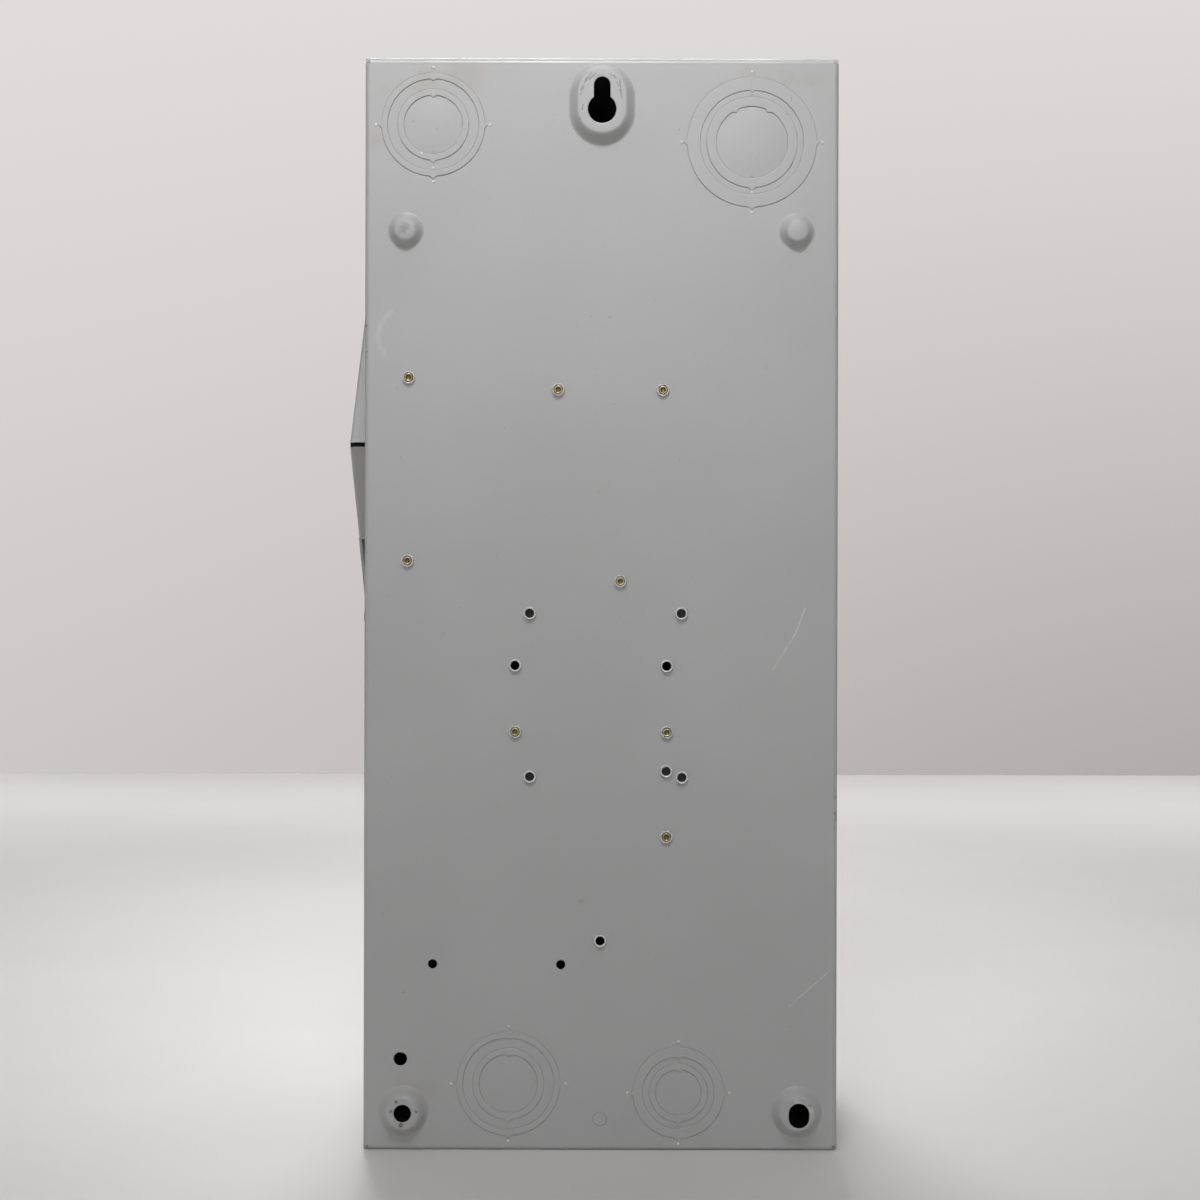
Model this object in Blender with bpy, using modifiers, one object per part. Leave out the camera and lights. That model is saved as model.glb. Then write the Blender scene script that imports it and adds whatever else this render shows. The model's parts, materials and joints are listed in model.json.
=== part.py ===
"""Side-operated, fusible enclosed safety switch.

Metres, +Z up. X is to the right seen from the front, the door faces -Y and the wall face is +Y.
The origin is the centre of the bottom end wall's outer face.
"""

import math

import bmesh
import bpy
from mathutils import Matrix, Vector

# ---------------------------------------------------------------- driving dimensions
MM = 0.001
GAP = 0.3 * MM

WIDTH, HEIGHT, DEPTH = 229 * MM, 528 * MM, 150 * MM
SHEET = 1.5 * MM
BEND = 2.0 * MM
LIP = 12 * MM

BACK = DEPTH / 2
FRONT = -DEPTH / 2
SIDE = WIDTH / 2
BACK_INSIDE = BACK - SHEET

DOOR_DEPTH = 13 * MM
DOOR_GAP = 0.7 * MM
DOOR_REAR = FRONT - DOOR_GAP
DOOR_FRONT = DOOR_REAR - DOOR_DEPTH
HINGE_X, HINGE_Y = -(SIDE + 3.2 * MM), DOOR_REAR - 1.6 * MM
HINGE_RADIUS, HINGE_PIN_RADIUS = 3.0 * MM, 1.5 * MM
HINGE_HEIGHTS = {"upper": 440 * MM, "lower": 90 * MM}
KNUCKLE = 18 * MM

# features pressed or punched in the back, as (x, z)
MOUNT_BOSS_HEIGHT = 6 * MM
KEYHOLE = (0.0, 502.2 * MM)
MOUNT_HOLES = ((95 * MM, 18.9 * MM), (-95 * MM, 18.9 * MM))
RIGHT_SLOT = (-95.7 * MM, 17.1 * MM, 4.95 * MM, 2.0 * MM)
DIMPLES = ((94.7 * MM, 444.3 * MM), (-94.2 * MM, 444.2 * MM))
TRADE_1_2, TRADE_3_4, TRADE_1, TRADE_1_1_4, TRADE_1_1_2, TRADE_2 = (
    d * MM for d in (22.2, 28.2, 34.5, 44.0, 50.0, 62.7)
)
BACK_KNOCKOUTS = (
    (81.6 * MM, 495.6 * MM, (TRADE_1_1_2, TRADE_1_1_4, TRADE_1, TRADE_3_4)),
    (-72.5 * MM, 487.4 * MM, (TRADE_2, TRADE_1_1_2, TRADE_1_1_4, TRADE_1)),
    (44.3 * MM, 32.2 * MM, (TRADE_1_1_2, TRADE_1_1_4, TRADE_1, TRADE_3_4)),
    (-37.9 * MM, 28.0 * MM, (TRADE_1_1_4, TRADE_1, TRADE_3_4, TRADE_1_2)),
)
KNOCKOUT_STEP = 0.5 * MM
END_KNOCKOUTS = ((-58 * MM, -5 * MM, TRADE_2, TRADE_1_1_2), (58 * MM, 0.0, TRADE_1_1_2, TRADE_1_1_4))
LINE_SCREWS = ((20.9 * MM, 367.5 * MM), (-29.7 * MM, 367.5 * MM), (-9.3 * MM, 275.1 * MM))
LOAD_SCREWS = ((41.4 * MM, 202.3 * MM), (-31.9 * MM, 202.1 * MM), (-31.8 * MM, 151.6 * MM))
FRAME_SCREWS = ((93.2 * MM, 373.3 * MM), (93.6 * MM, 284.8 * MM))
SPARE_EXTRUDED_HOLES = tuple(
    (x * MM, z * MM)
    for x, z in (
        (34.5, 259.5), (-38.8, 259.5), (41.5, 234.3), (-31.8, 234.1),
        (34.3, 180.6), (-31.6, 183.3), (-39.2, 180.3), (0.1, 101.3),
    )
)
PLAIN_HOLES = ((81 * MM, 89.9 * MM, 2.2 * MM), (19.1 * MM, 89.7 * MM, 2.2 * MM), (96.5 * MM, 44 * MM, 3.2 * MM))
COLLAR_HEIGHT, COLLAR_RADIUS, COLLAR_BORE = 1.8 * MM, 3.1 * MM, 2.3 * MM

# the handle and its sector-shaped housing on the right wall
HOUSING_APEX_Y, HANDLE_Z = 14 * MM, 345 * MM
HOUSING_RISE = 14 * MM
CHEEK_END_Z = 298 * MM
HANDLE_Y = -2 * MM
HANDLE_REST = math.radians(-45)
HANDLE_LENGTH = 185 * MM
GRIP_START = 120 * MM
LEVER_WIDTH, LEVER_X = 16 * MM, (118 * MM, 124 * MM)
SHAFT_RADIUS = 6 * MM

# the switch itself: three poles, a rotor of blades and a parallel drive link
POLES = (-45 * MM, -5 * MM, 35 * MM)
POLE_PITCH = 40 * MM
BARRIERS = tuple(POLES[0] + POLE_PITCH * (i - 0.5) for i in range(4))
BASE_FACE = 45 * MM
BARRIER_FACE = 18 * MM
LINE_BASE_Z = (248 * MM, 394 * MM)
LOAD_BASE_Z = (140 * MM, 214 * MM)
ROTOR_Y, ROTOR_Z = 33 * MM, 300 * MM
ROTOR_HALF, STUB_RADIUS = 8.5 * MM, 4.5 * MM
BLADE_LENGTH = 54 * MM
CRANK_RADIUS, CRANK_X = 18 * MM, (88 * MM, 91 * MM)
CRANK_REST = math.radians(82.9)
CRANK_PIN_RADIUS, LINK_X = 2.8 * MM, (91.4 * MM, 93.4 * MM)
FUSE_Y, FUSE_Z, FUSE_RADIUS = 30 * MM, (195.5 * MM, 271.5 * MM), 10.3 * MM
FRAME_PLATE_X = (83 * MM, 85 * MM)
LATCH_X, LATCH_Z = 92 * MM, 120 * MM

for old in list(bpy.data.objects):
    bpy.data.objects.remove(old)


def new_collection(name):
    made = bpy.data.collections.new(name)
    bpy.context.scene.collection.children.link(made)
    return made


PARTS = new_collection("safety_switch")
CUTTERS = new_collection("cutters")


# ---------------------------------------------------------------- materials
def finish(name, colour, roughness, metallic=0.0):
    made = bpy.data.materials.new(name)
    made.use_nodes = True
    shader = made.node_tree.nodes["Principled BSDF"]
    shader.inputs["Base Color"].default_value = (*colour, 1)
    shader.inputs["Roughness"].default_value = roughness
    shader.inputs["Metallic"].default_value = metallic
    return made


GREY_PAINT = finish("grey_paint", (0.42, 0.42, 0.44), 0.45)
ZINC = finish("zinc_plated_steel", (0.62, 0.62, 0.60), 0.35, 1.0)
YELLOW_ZINC = finish("yellow_zinc", (0.66, 0.56, 0.30), 0.35, 1.0)
DARK_STEEL = finish("dark_steel", (0.10, 0.11, 0.12), 0.5, 0.6)
RED_GRIP = finish("red_grip", (0.50, 0.04, 0.03), 0.4)
BLACK_MOULDING = finish("black_moulding", (0.025, 0.025, 0.028), 0.5)
GREY_MOULDING = finish("grey_moulding", (0.20, 0.20, 0.21), 0.55)
COPPER = finish("tinned_copper", (0.72, 0.45, 0.30), 0.3, 1.0)
ALUMINIUM = finish("aluminium", (0.75, 0.75, 0.76), 0.35, 1.0)
FUSE_TUBE = finish("fuse_tube", (0.55, 0.42, 0.24), 0.6)
CLEAR_PLASTIC = finish("clear_plastic", (0.8, 0.85, 0.88), 0.1)


# ---------------------------------------------------------------- shape helpers
def link_mesh(name, mesh, material, matrix=None):
    made = bpy.data.objects.new(name, mesh)
    if matrix is not None:
        made.matrix_world = matrix
    if material is not None:
        mesh.materials.clear()
        mesh.materials.append(material)
    PARTS.objects.link(made)
    return made


def from_bmesh(name, build, material, location):
    mesh = bpy.data.meshes.new(name)
    bm = bmesh.new()
    build(bm)
    bm.to_mesh(mesh)
    bm.free()
    return link_mesh(name, mesh, material, Matrix.Translation(location))


def block(name, low, high, material=None, bevel=0.0, steps=2):
    """A box between two corners, with its edges rounded by bevel."""
    low, high = Vector(low), Vector(high)
    size = high - low
    made = from_bmesh(
        name,
        lambda bm: bmesh.ops.create_cube(bm, size=1, matrix=Matrix.Diagonal((*size, 1))),
        material,
        (low + high) / 2,
    )
    if bevel:
        modifier = made.modifiers.new("rounded", "BEVEL")
        modifier.width, modifier.segments = bevel, steps
    return made


def rod(name, start, end, radius, material=None, end_radius=None, sides=24):
    """A cylinder or cone frustum from start to end."""
    start, end = Vector(start), Vector(end)
    along = end - start
    turn = along.to_track_quat("Z", "Y").to_matrix().to_4x4()
    made = from_bmesh(
        name,
        lambda bm: bmesh.ops.create_cone(
            bm, cap_ends=True, segments=sides, radius1=radius, depth=along.length,
            radius2=radius if end_radius is None else end_radius,
            matrix=turn @ Matrix.Rotation(math.pi / sides, 4, "Z"),
        ),
        material,
        (start + end) / 2,
    )
    made.data.shade_smooth()
    made.data.set_sharp_from_angle(angle=math.radians(35))
    return made


PLANES = {
    "X": Matrix(((0, 0, 1, 0), (1, 0, 0, 0), (0, 1, 0, 0), (0, 0, 0, 1))),
    "Y": Matrix(((0, 1, 0, 0), (0, 0, 1, 0), (1, 0, 0, 0), (0, 0, 0, 1))),
    "Z": Matrix.Identity(4),
}


def plate(name, outline, low, high, normal, material=None):
    """A flat outline, as (y, z), (x, z) or (x, y) points, with its thickness from low to high along normal."""
    curve = bpy.data.curves.new(name, "CURVE")
    curve.dimensions, curve.fill_mode, curve.extrude = "2D", "BOTH", (high - low) / 2
    spline = curve.splines.new("POLY")
    spline.points.add(len(outline) - 1)
    for point, (u, v) in zip(spline.points, outline):
        point.co = (v, u, 0, 1) if normal == "Y" else (u, v, 0, 1)
    spline.use_cyclic_u = True
    guide = bpy.data.objects.new(name + "_outline", curve)
    PARTS.objects.link(guide)
    middle = {"X": (1, 0, 0), "Y": (0, 1, 0), "Z": (0, 0, 1)}[normal]
    guide.matrix_world = Matrix.Translation(Vector(middle) * (low + high) / 2) @ PLANES[normal]
    return curve_to_mesh(guide, name, material)


def curve_to_mesh(guide, name, material):
    bpy.context.view_layer.update()
    graph = bpy.context.evaluated_depsgraph_get()
    mesh = bpy.data.meshes.new_from_object(guide.evaluated_get(graph))
    mesh.name = name
    bm = bmesh.new()
    bm.from_mesh(mesh)
    bmesh.ops.remove_doubles(bm, verts=bm.verts, dist=1e-6)
    bmesh.ops.recalc_face_normals(bm, faces=bm.faces)
    bm.to_mesh(mesh)
    bm.free()
    made = link_mesh(name, mesh, material, guide.matrix_world.copy())
    bpy.data.objects.remove(guide)
    return made


def turned(name, profile, origin, axis, material=None, steps=20):
    """A (radius, height) profile turned about axis, which starts at origin. The profile runs top to bottom."""
    mesh = bpy.data.meshes.new(name)
    mesh.from_pydata([(r, 0, h) for r, h in profile], [(i, i + 1) for i in range(len(profile) - 1)], [])
    turn = Vector(axis).to_track_quat("Z", "Y").to_matrix().to_4x4()
    made = link_mesh(name, mesh, material, Matrix.Translation(origin) @ turn)
    screw = made.modifiers.new("turned", "SCREW")
    screw.steps = screw.render_steps = steps
    screw.use_merge_vertices, screw.merge_threshold = True, 1e-5
    screw.use_smooth_shade = False
    return made


def combine(target, tool, operation):
    tool.hide_render = True
    tool.display_type = "WIRE"
    PARTS.objects.unlink(tool)
    CUTTERS.objects.link(tool)
    modifier = target.modifiers.new(operation.lower(), "BOOLEAN")
    modifier.operation, modifier.object, modifier.solver = operation, tool, "EXACT"
    return target


def cut(target, *tools):
    for tool in tools:
        combine(target, tool, "DIFFERENCE")
    return target


def join(target, *tools):
    for tool in tools:
        combine(target, tool, "UNION")
    return target


def obround(name, x, z, low_y, high_y, low_radius, high_radius, stretch, sides=24):
    """A frustum whose upper half is moved up by stretch, which makes its section an obround."""
    made = rod(name, (x, low_y, z), (x, high_y, z), low_radius, end_radius=high_radius, sides=sides)
    for vertex in made.data.vertices:
        if vertex.co.z > 0:
            vertex.co.z += stretch
    return made


# ---------------------------------------------------------------- enclosure
def enclosure_box():
    """The pan: back, four walls and a front lip bent from one sheet, with everything pressed in its back."""
    box = block("enclosure_box", (-SIDE, FRONT, 0), (SIDE, BACK, HEIGHT), GREY_PAINT, BEND)
    inner = (SIDE - SHEET, BACK_INSIDE)
    opening = SIDE - SHEET - LIP
    cut(
        box,
        block("cavity", (-inner[0], FRONT + SHEET, SHEET), (inner[0], BACK_INSIDE, HEIGHT - SHEET)),
        block("mouth", (-opening, FRONT - LIP, SHEET + LIP), (opening, FRONT + LIP, HEIGHT - SHEET - LIP)),
    )
    for i, (x, z) in enumerate(DIMPLES):
        pressed_boss(box, f"dimple_{i}", x, z, 8.6 * MM, 4.6 * MM, 5.2 * MM, 0.0)
    for i, (x, z) in enumerate(MOUNT_HOLES):
        pressed_boss(box, f"foot_{i}", x, z, 12.3 * MM, 7.6 * MM, MOUNT_BOSS_HEIGHT, 0.0)
    keyhole_boss_z = KEYHOLE[1] - 0.8 * MM
    pressed_boss(box, "keyhole_boss", KEYHOLE[0], keyhole_boss_z, 16 * MM, 11.4 * MM, MOUNT_BOSS_HEIGHT, 7.2 * MM)
    through = (BACK_INSIDE - 3 * MM, BACK + 12 * MM)
    cut(
        box,
        obround("left_mount_hole", *MOUNT_HOLES[0], *through, 4.25 * MM, 4.25 * MM, 0.0, 20),
        obround("right_mount_slot", *RIGHT_SLOT[:2], *through, RIGHT_SLOT[2], RIGHT_SLOT[2], RIGHT_SLOT[3], 20),
        rod("keyhole_round", (KEYHOLE[0], through[0], KEYHOLE[1]), (KEYHOLE[0], through[1], KEYHOLE[1]), 6.9 * MM),
        obround("keyhole_slot", *KEYHOLE, *through, 4.0 * MM, 4.0 * MM, 11.5 * MM, 20),
    )
    for i, (x, z, rings) in enumerate(BACK_KNOCKOUTS):
        raised_ring(box, f"knockout_{i}_outer", x, z, rings[0] / 2, rings[1] / 2)
        raised_ring(box, f"knockout_{i}_inner", x, z, rings[2] / 2, rings[3] / 2)
    for i, (x, z) in enumerate(LINE_SCREWS + LOAD_SCREWS + FRAME_SCREWS + SPARE_EXTRUDED_HOLES):
        join(box, rod(f"collar_{i}", (x, BACK - SHEET / 2, z), (x, BACK + COLLAR_HEIGHT, z), COLLAR_RADIUS, sides=12))
        cut(box, rod(f"bore_{i}", (x, through[0], z), (x, through[1], z), COLLAR_BORE, sides=12))
    for i, (x, z, radius) in enumerate(PLAIN_HOLES):
        cut(box, rod(f"plain_hole_{i}", (x, through[0], z), (x, through[1], z), radius, sides=12))
    for end, face, inward in (("bottom", 0.0, 1), ("top", HEIGHT, -1)):
        for i, (x, y, outer, inner_ring) in enumerate(END_KNOCKOUTS):
            low, high = sorted((face - inward * MM, face + inward * KNOCKOUT_STEP))
            groove = rod(f"{end}_ring_{i}", (x, y, low), (x, y, high), outer / 2, sides=28)
            cut(groove, rod(f"{end}_disc_{i}", (x, y, low - MM), (x, y, high + MM), inner_ring / 2, sides=28))
            cut(box, groove)
    cut(
        box,
        rod("shaft_hole", (SIDE - 6 * MM, HANDLE_Y, HANDLE_Z), (SIDE + 6 * MM, HANDLE_Y, HANDLE_Z), 8 * MM),
    )
    return box


def pressed_boss(box, name, x, z, base_radius, top_radius, height, stretch):
    """A boss pressed outward from the back: a frustum outside, and the same one a sheet lower inside."""
    join(box, obround(name, x, z, BACK - SHEET / 2, BACK + height, base_radius, top_radius, stretch))
    hollow = obround(
        name + "_hollow", x, z, BACK_INSIDE - MM, BACK + height - SHEET, base_radius - 0.4 * MM,
        top_radius - 1.2 * MM, stretch,
    )
    cut(box, hollow)


def raised_ring(box, name, x, z, outer, inner):
    """One ring of a concentric knockout, sheared a little outward."""
    ring = rod(name, (x, BACK - SHEET / 2, z), (x, BACK + KNOCKOUT_STEP, z), outer, sides=32)
    cut(ring, rod(name + "_middle", (x, BACK - SHEET, z), (x, BACK + 2 * MM, z), inner, sides=32))
    join(box, ring)


def handle_housing():
    """A flat-topped sector standing off the right wall: two sloping cheeks and an outer plate, open in front."""
    reach = HOUSING_APEX_Y - FRONT
    wall = SHEET * math.sqrt(2)
    outline = [(HOUSING_APEX_Y, HANDLE_Z), (FRONT, HANDLE_Z + reach), (FRONT, HANDLE_Z - reach)]
    inside = [
        (HOUSING_APEX_Y - wall, HANDLE_Z),
        (FRONT - 5 * MM, HANDLE_Z + reach - wall + 5 * MM),
        (FRONT - 5 * MM, HANDLE_Z - reach + wall - 5 * MM),
    ]
    top = SIDE + HOUSING_RISE
    housing = plate("handle_housing", outline, SIDE + GAP, top, "X", GREY_PAINT)
    slit = 1.3 * MM
    lock_y, lock_z = FRONT + 12 * MM, HANDLE_Z - 40 * MM
    return cut(
        housing,
        plate("housing_hollow", inside, SIDE - MM, top - SHEET, "X"),
        block("apex_slit", (SIDE - MM, 5 * MM, HANDLE_Z - slit), (top - 1.2 * MM, 20 * MM, HANDLE_Z + slit)),
        block("cheek_cutaway", (SIDE - MM, FRONT - MM, HANDLE_Z - reach - MM), (top - 1.4 * MM, 0.0, CHEEK_END_Z)),
        rod("padlock_hole", (top - 5 * MM, lock_y, lock_z), (top + 5 * MM, lock_y, lock_z), 4.8 * MM, sides=16),
    )


def hinge(which, z):
    """One knuckle hinge: a leaf on the box, a leaf on the door, and a headed pin."""
    third = KNUCKLE / 3
    pieces = {}
    for owner, low, high in (("box", z - KNUCKLE, z - third), ("door", z - third + GAP, z + KNUCKLE - third)):
        barrel = rod(
            f"hinge_{which}_{owner}_leaf", (HINGE_X, HINGE_Y, low), (HINGE_X, HINGE_Y, high), HINGE_RADIUS, ZINC, sides=16
        )
        if owner == "box":
            arm = block(
                f"arm_{which}_{owner}", (-SIDE - 1.9 * MM, HINGE_Y, low + 0.05 * MM),
                (-SIDE - GAP, FRONT + 22 * MM, high - 0.05 * MM),
            )
        else:
            arm = block(
                f"arm_{which}_{owner}", (-SIDE - 1.9 * MM, DOOR_FRONT + 2 * MM, low + 0.05 * MM),
                (-SIDE - GAP, HINGE_Y, high - 0.05 * MM),
            )
        join(barrel, arm)
        bore = rod(
            f"bore_{which}_{owner}", (HINGE_X, HINGE_Y, low - MM), (HINGE_X, HINGE_Y, high + MM),
            HINGE_PIN_RADIUS + GAP, sides=12,
        )
        pieces[owner] = cut(barrel, bore)
    top, bottom = z + KNUCKLE - third, z - KNUCKLE
    profile = [
        (0, top + 1.8 * MM), (2.4 * MM, top + 1.8 * MM), (2.6 * MM, top + GAP),
        (HINGE_PIN_RADIUS, top + GAP), (HINGE_PIN_RADIUS, bottom - MM), (0, bottom - MM),
    ]
    pieces["pin"] = turned(f"hinge_{which}_pin", profile, (HINGE_X, HINGE_Y, 0), (0, 0, 1), ZINC, 12)
    return pieces


# ---------------------------------------------------------------- switch bases and current path
def comb_outline(face_y):
    """The section of a moulded base: a slab with a barrier rib at each side of every pole."""
    half = 1.5 * MM
    left, right = BARRIERS[0] - half, BARRIERS[-1] + half
    back_y = BACK_INSIDE - GAP
    points = [(left, back_y)]
    for x in BARRIERS:
        points += [(x - half, BASE_FACE), (x - half, face_y), (x + half, face_y), (x + half, BASE_FACE)]
    points[1] = (left, face_y)
    del points[2]
    points[-1] = (right, back_y)
    return points


def moulded_base(name, z_range, screws):
    base = plate(name, comb_outline(BARRIER_FACE), *z_range, "Z", BLACK_MOULDING)
    for i, (x, z) in enumerate(screws):
        cut(
            base,
            rod(f"{name}_well_{i}", (x, BASE_FACE - MM, z), (x, 60 * MM, z), 4.8 * MM, sides=12),
            rod(f"{name}_bore_{i}", (x, 58 * MM, z), (x, BACK, z), 2.5 * MM, sides=12),
        )
    return base


def line_base():
    base = moulded_base("line_base", LINE_BASE_Z, LINE_SCREWS)
    clear = ROTOR_HALF * math.sqrt(2) + 1.5 * MM
    low, high = ROTOR_Z - clear, ROTOR_Z + clear
    cut(base, block("rotor_bay", (-SIDE, 0, low), (SIDE, BASE_FACE - GAP, high)))
    for x in (BARRIERS[0] - 5.5 * MM, BARRIERS[-1] + 1.5 * MM):
        post = block(
            "bearing_post", (x, ROTOR_Y - 9 * MM, ROTOR_Z - 9 * MM), (x + 4 * MM, BACK_INSIDE - 2 * MM, ROTOR_Z + 9 * MM)
        )
        join(base, post)
    foot = block(
        "post_foot", (BARRIERS[0] - 5.5 * MM, BASE_FACE + 4 * MM, ROTOR_Z - 9 * MM),
        (BARRIERS[-1] + 5.5 * MM, BACK_INSIDE - 2 * MM, ROTOR_Z + 9 * MM),
    )
    join(base, foot)
    return cut(
        base,
        rod("stub_bore", (-SIDE, ROTOR_Y, ROTOR_Z), (SIDE, ROTOR_Y, ROTOR_Z), STUB_RADIUS + GAP),
    )


def screw(name, x, z, head_y):
    """A machine screw from its head to its tip, which shows in an extruded hole of the back."""
    tip = BACK + COLLAR_HEIGHT + 0.5 * MM
    length = tip - head_y
    profile = [
        (0, length), (1.3 * MM, length), (2.0 * MM, length - 0.7 * MM), (2.0 * MM, 0),
        (3.9 * MM, 0), (3.9 * MM, -1.6 * MM), (2.6 * MM, -2.6 * MM), (0, -2.6 * MM),
    ]
    return turned(name, profile, (x, head_y, z), (0, 1, 0), YELLOW_ZINC, 12)


def strip(name, x, z_low, z_high, material):
    return block(name, (x - 8 * MM, BASE_FACE - 2.3 * MM, z_low), (x + 8 * MM, BASE_FACE - GAP, z_high), material)


def line_contact(number, x):
    """The busbar from a line lug, with the two leaves of the jaw that the blade enters."""
    contact = strip(f"line_contact_{number}", x, 334 * MM, 390 * MM, COPPER)
    for side in (-1, 1):
        low, high = sorted((x + side * 1.7 * MM, x + side * 3.1 * MM))
        join(contact, block("leaf", (low, 24 * MM, 335 * MM), (high, BASE_FACE - MM, 353 * MM)))
    return contact


def lug(name, x, z_low, z_high):
    """A box lug: a block with a wire bore along Z and a slotted screw in front."""
    body = block(name, (x - 8 * MM, 22 * MM, z_low), (x + 8 * MM, BASE_FACE - 2.6 * MM, z_high), ALUMINIUM, 0.8 * MM, 1)
    middle = (z_low + z_high) / 2
    cut(body, rod("wire_bore", (x, 34.5 * MM, z_low - MM), (x, 34.5 * MM, z_high + MM), 5 * MM, sides=16))
    join(body, rod("lug_screw", (x, 19.5 * MM, middle), (x, 27 * MM, middle), 4.5 * MM, sides=12))
    return cut(body, block("slot", (x - 6 * MM, 19 * MM, middle - 0.6 * MM), (x + 6 * MM, 21 * MM, middle + 0.6 * MM)))


def arc_chute(number, x):
    """A moulded hood over the jaw, slotted where the blade swings in."""
    hood = block(f"arc_chute_{number}", (x - 14 * MM, 20 * MM, 330 * MM), (x + 14 * MM, 42 * MM, 366 * MM), GREY_MOULDING, MM, 1)
    return cut(
        hood,
        block("blade_slot", (x - 4.2 * MM, 10 * MM, 320 * MM), (x + 4.2 * MM, 50 * MM, 359 * MM)),
        block("busbar_notch", (x - 9 * MM, 38 * MM, 320 * MM), (x + 9 * MM, 50 * MM, 370 * MM)),
    )


def fuse_clip(name, x, strip_z, clip_z):
    """A spring clip of two arms with flared tips, on the strip that feeds it."""
    strap = strip(name, x, *strip_z, COPPER)
    low, high = clip_z
    inner, outer = FUSE_RADIUS + 0.4 * MM, FUSE_RADIUS + 1.6 * MM
    foot, neck, tip = BASE_FACE - MM, FUSE_Y - 7 * MM, FUSE_Y - 12 * MM
    for side in (-1, 1):
        outline = [
            (x + side * 6 * MM, foot), (x + side * outer, foot), (x + side * outer, neck),
            (x + side * (outer + 1.8 * MM), tip), (x + side * (inner + 1.8 * MM), tip), (x + side * inner, neck),
            (x + side * inner, foot - 1.2 * MM), (x + side * 6 * MM, foot - 1.2 * MM),
        ]
        join(strap, plate("clip_arm", outline, low, high, "Z"))
    return strap


def fuse(number, x):
    low, high = FUSE_Z
    cap, tube = FUSE_RADIUS, FUSE_RADIUS - 0.7 * MM
    ferrule = 15 * MM
    profile = [
        (0, high), (cap - MM, high), (cap, high - MM), (cap, high - ferrule), (tube, high - ferrule),
        (tube, low + ferrule), (cap, low + ferrule), (cap, low + MM), (cap - MM, low), (0, low),
    ]
    return turned(f"fuse_{number}", profile, (x, FUSE_Y, 0), (0, 0, 1), FUSE_TUBE, 20)


def line_shield():
    """A clear guard over the live line lugs, clipped on the barrier ribs."""
    y = BARRIER_FACE - GAP
    left, right = BARRIERS[0] - 3 * MM, BARRIERS[-1] + 3 * MM
    outline = [
        (left, y + 12 * MM), (left, y - 1.5 * MM), (right, y - 1.5 * MM), (right, y + 12 * MM),
        (right - 1.2 * MM, y + 12 * MM), (right - 1.2 * MM, y), (left + 1.2 * MM, y), (left + 1.2 * MM, y + 12 * MM),
    ]
    return plate("line_shield", outline, 355 * MM, 394 * MM, "Z", CLEAR_PLASTIC)


# ---------------------------------------------------------------- mechanism
def direction(angle):
    return Vector((0, math.cos(angle), math.sin(angle)))


HANDLE_AXIS = Vector((0, HANDLE_Y, HANDLE_Z))
ROTOR_AXIS = Vector((0, ROTOR_Y, ROTOR_Z))
CRANK_ARM = direction(CRANK_REST) * CRANK_RADIUS


def at_x(x, point):
    return (x, point.y, point.z)


def mechanism_frame():
    """An L bracket on the back: a foot under two screws and a plate that carries the handle shaft."""
    low, high = 275 * MM, 383 * MM
    inner, outer = FRAME_PLATE_X
    frame = block("mechanism_frame", (inner, BACK_INSIDE - 2.3 * MM, low), (106 * MM, BACK_INSIDE - GAP, high), ZINC)
    join(frame, block("web", (inner, -20 * MM, low + MM), (outer, BACK_INSIDE - MM, high - MM)))
    shaft_bore = rod(
        "frame_shaft_bore", at_x(inner - MM, HANDLE_AXIS), at_x(outer + MM, HANDLE_AXIS), SHAFT_RADIUS + GAP
    )
    stub_bore = rod("frame_stub_bore", at_x(inner - MM, ROTOR_AXIS), at_x(outer + MM, ROTOR_AXIS), STUB_RADIUS + GAP)
    cut(frame, shaft_bore, stub_bore)
    for i, (x, z) in enumerate(FRAME_SCREWS):
        cut(frame, rod(f"frame_hole_{i}", (x, BACK_INSIDE - 4 * MM, z), (x, BACK, z), 2.4 * MM, sides=12))
    return frame


def drive_spring():
    """The torsion spring round the handle shaft, between its crank and the wall."""
    turns, per_turn, radius = 4, 14, 9.6 * MM
    start, pitch = 95.5 * MM, 3.1 * MM
    curve = bpy.data.curves.new("drive_spring", "CURVE")
    curve.dimensions, curve.bevel_depth, curve.bevel_resolution = "3D", 1.0 * MM, 1
    curve.use_fill_caps = True
    spline = curve.splines.new("POLY")
    count = turns * per_turn + 1
    spline.points.add(count - 1)
    for i, point in enumerate(spline.points):
        angle = 2 * math.pi * i / per_turn
        arm = HANDLE_AXIS + direction(angle) * radius
        point.co = (start + pitch * i / per_turn, arm.y, arm.z, 1)
    spring = bpy.data.objects.new("drive_spring", curve)
    curve.materials.append(ZINC)
    PARTS.objects.link(spring)


def crank(name, axis, bore_radius):
    """A crank plate with its pin, round a shaft."""
    low, high = CRANK_X
    pin = axis + CRANK_ARM
    body = rod(name, at_x(low, axis), at_x(high, axis), bore_radius + 3.5 * MM, ZINC)
    side = Vector((0, -CRANK_ARM.z, CRANK_ARM.y)).normalized() * 4.5 * MM
    arm = [axis + side, axis - side, pin - side * 0.9, pin + side * 0.9]
    join(
        body,
        plate("arm", [(p.y, p.z) for p in arm], low + 0.02 * MM, high - 0.02 * MM, "X"),
        rod("eye", at_x(low + 0.01 * MM, pin), at_x(high - 0.01 * MM, pin), 5 * MM, sides=16),
        rod("crank_pin", at_x(low + MM, pin), at_x(LINK_X[1] + 1.2 * MM, pin), CRANK_PIN_RADIUS, sides=16),
    )
    return cut(body, rod("crank_bore", at_x(low - MM, axis), at_x(high + MM, axis), bore_radius))


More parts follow.
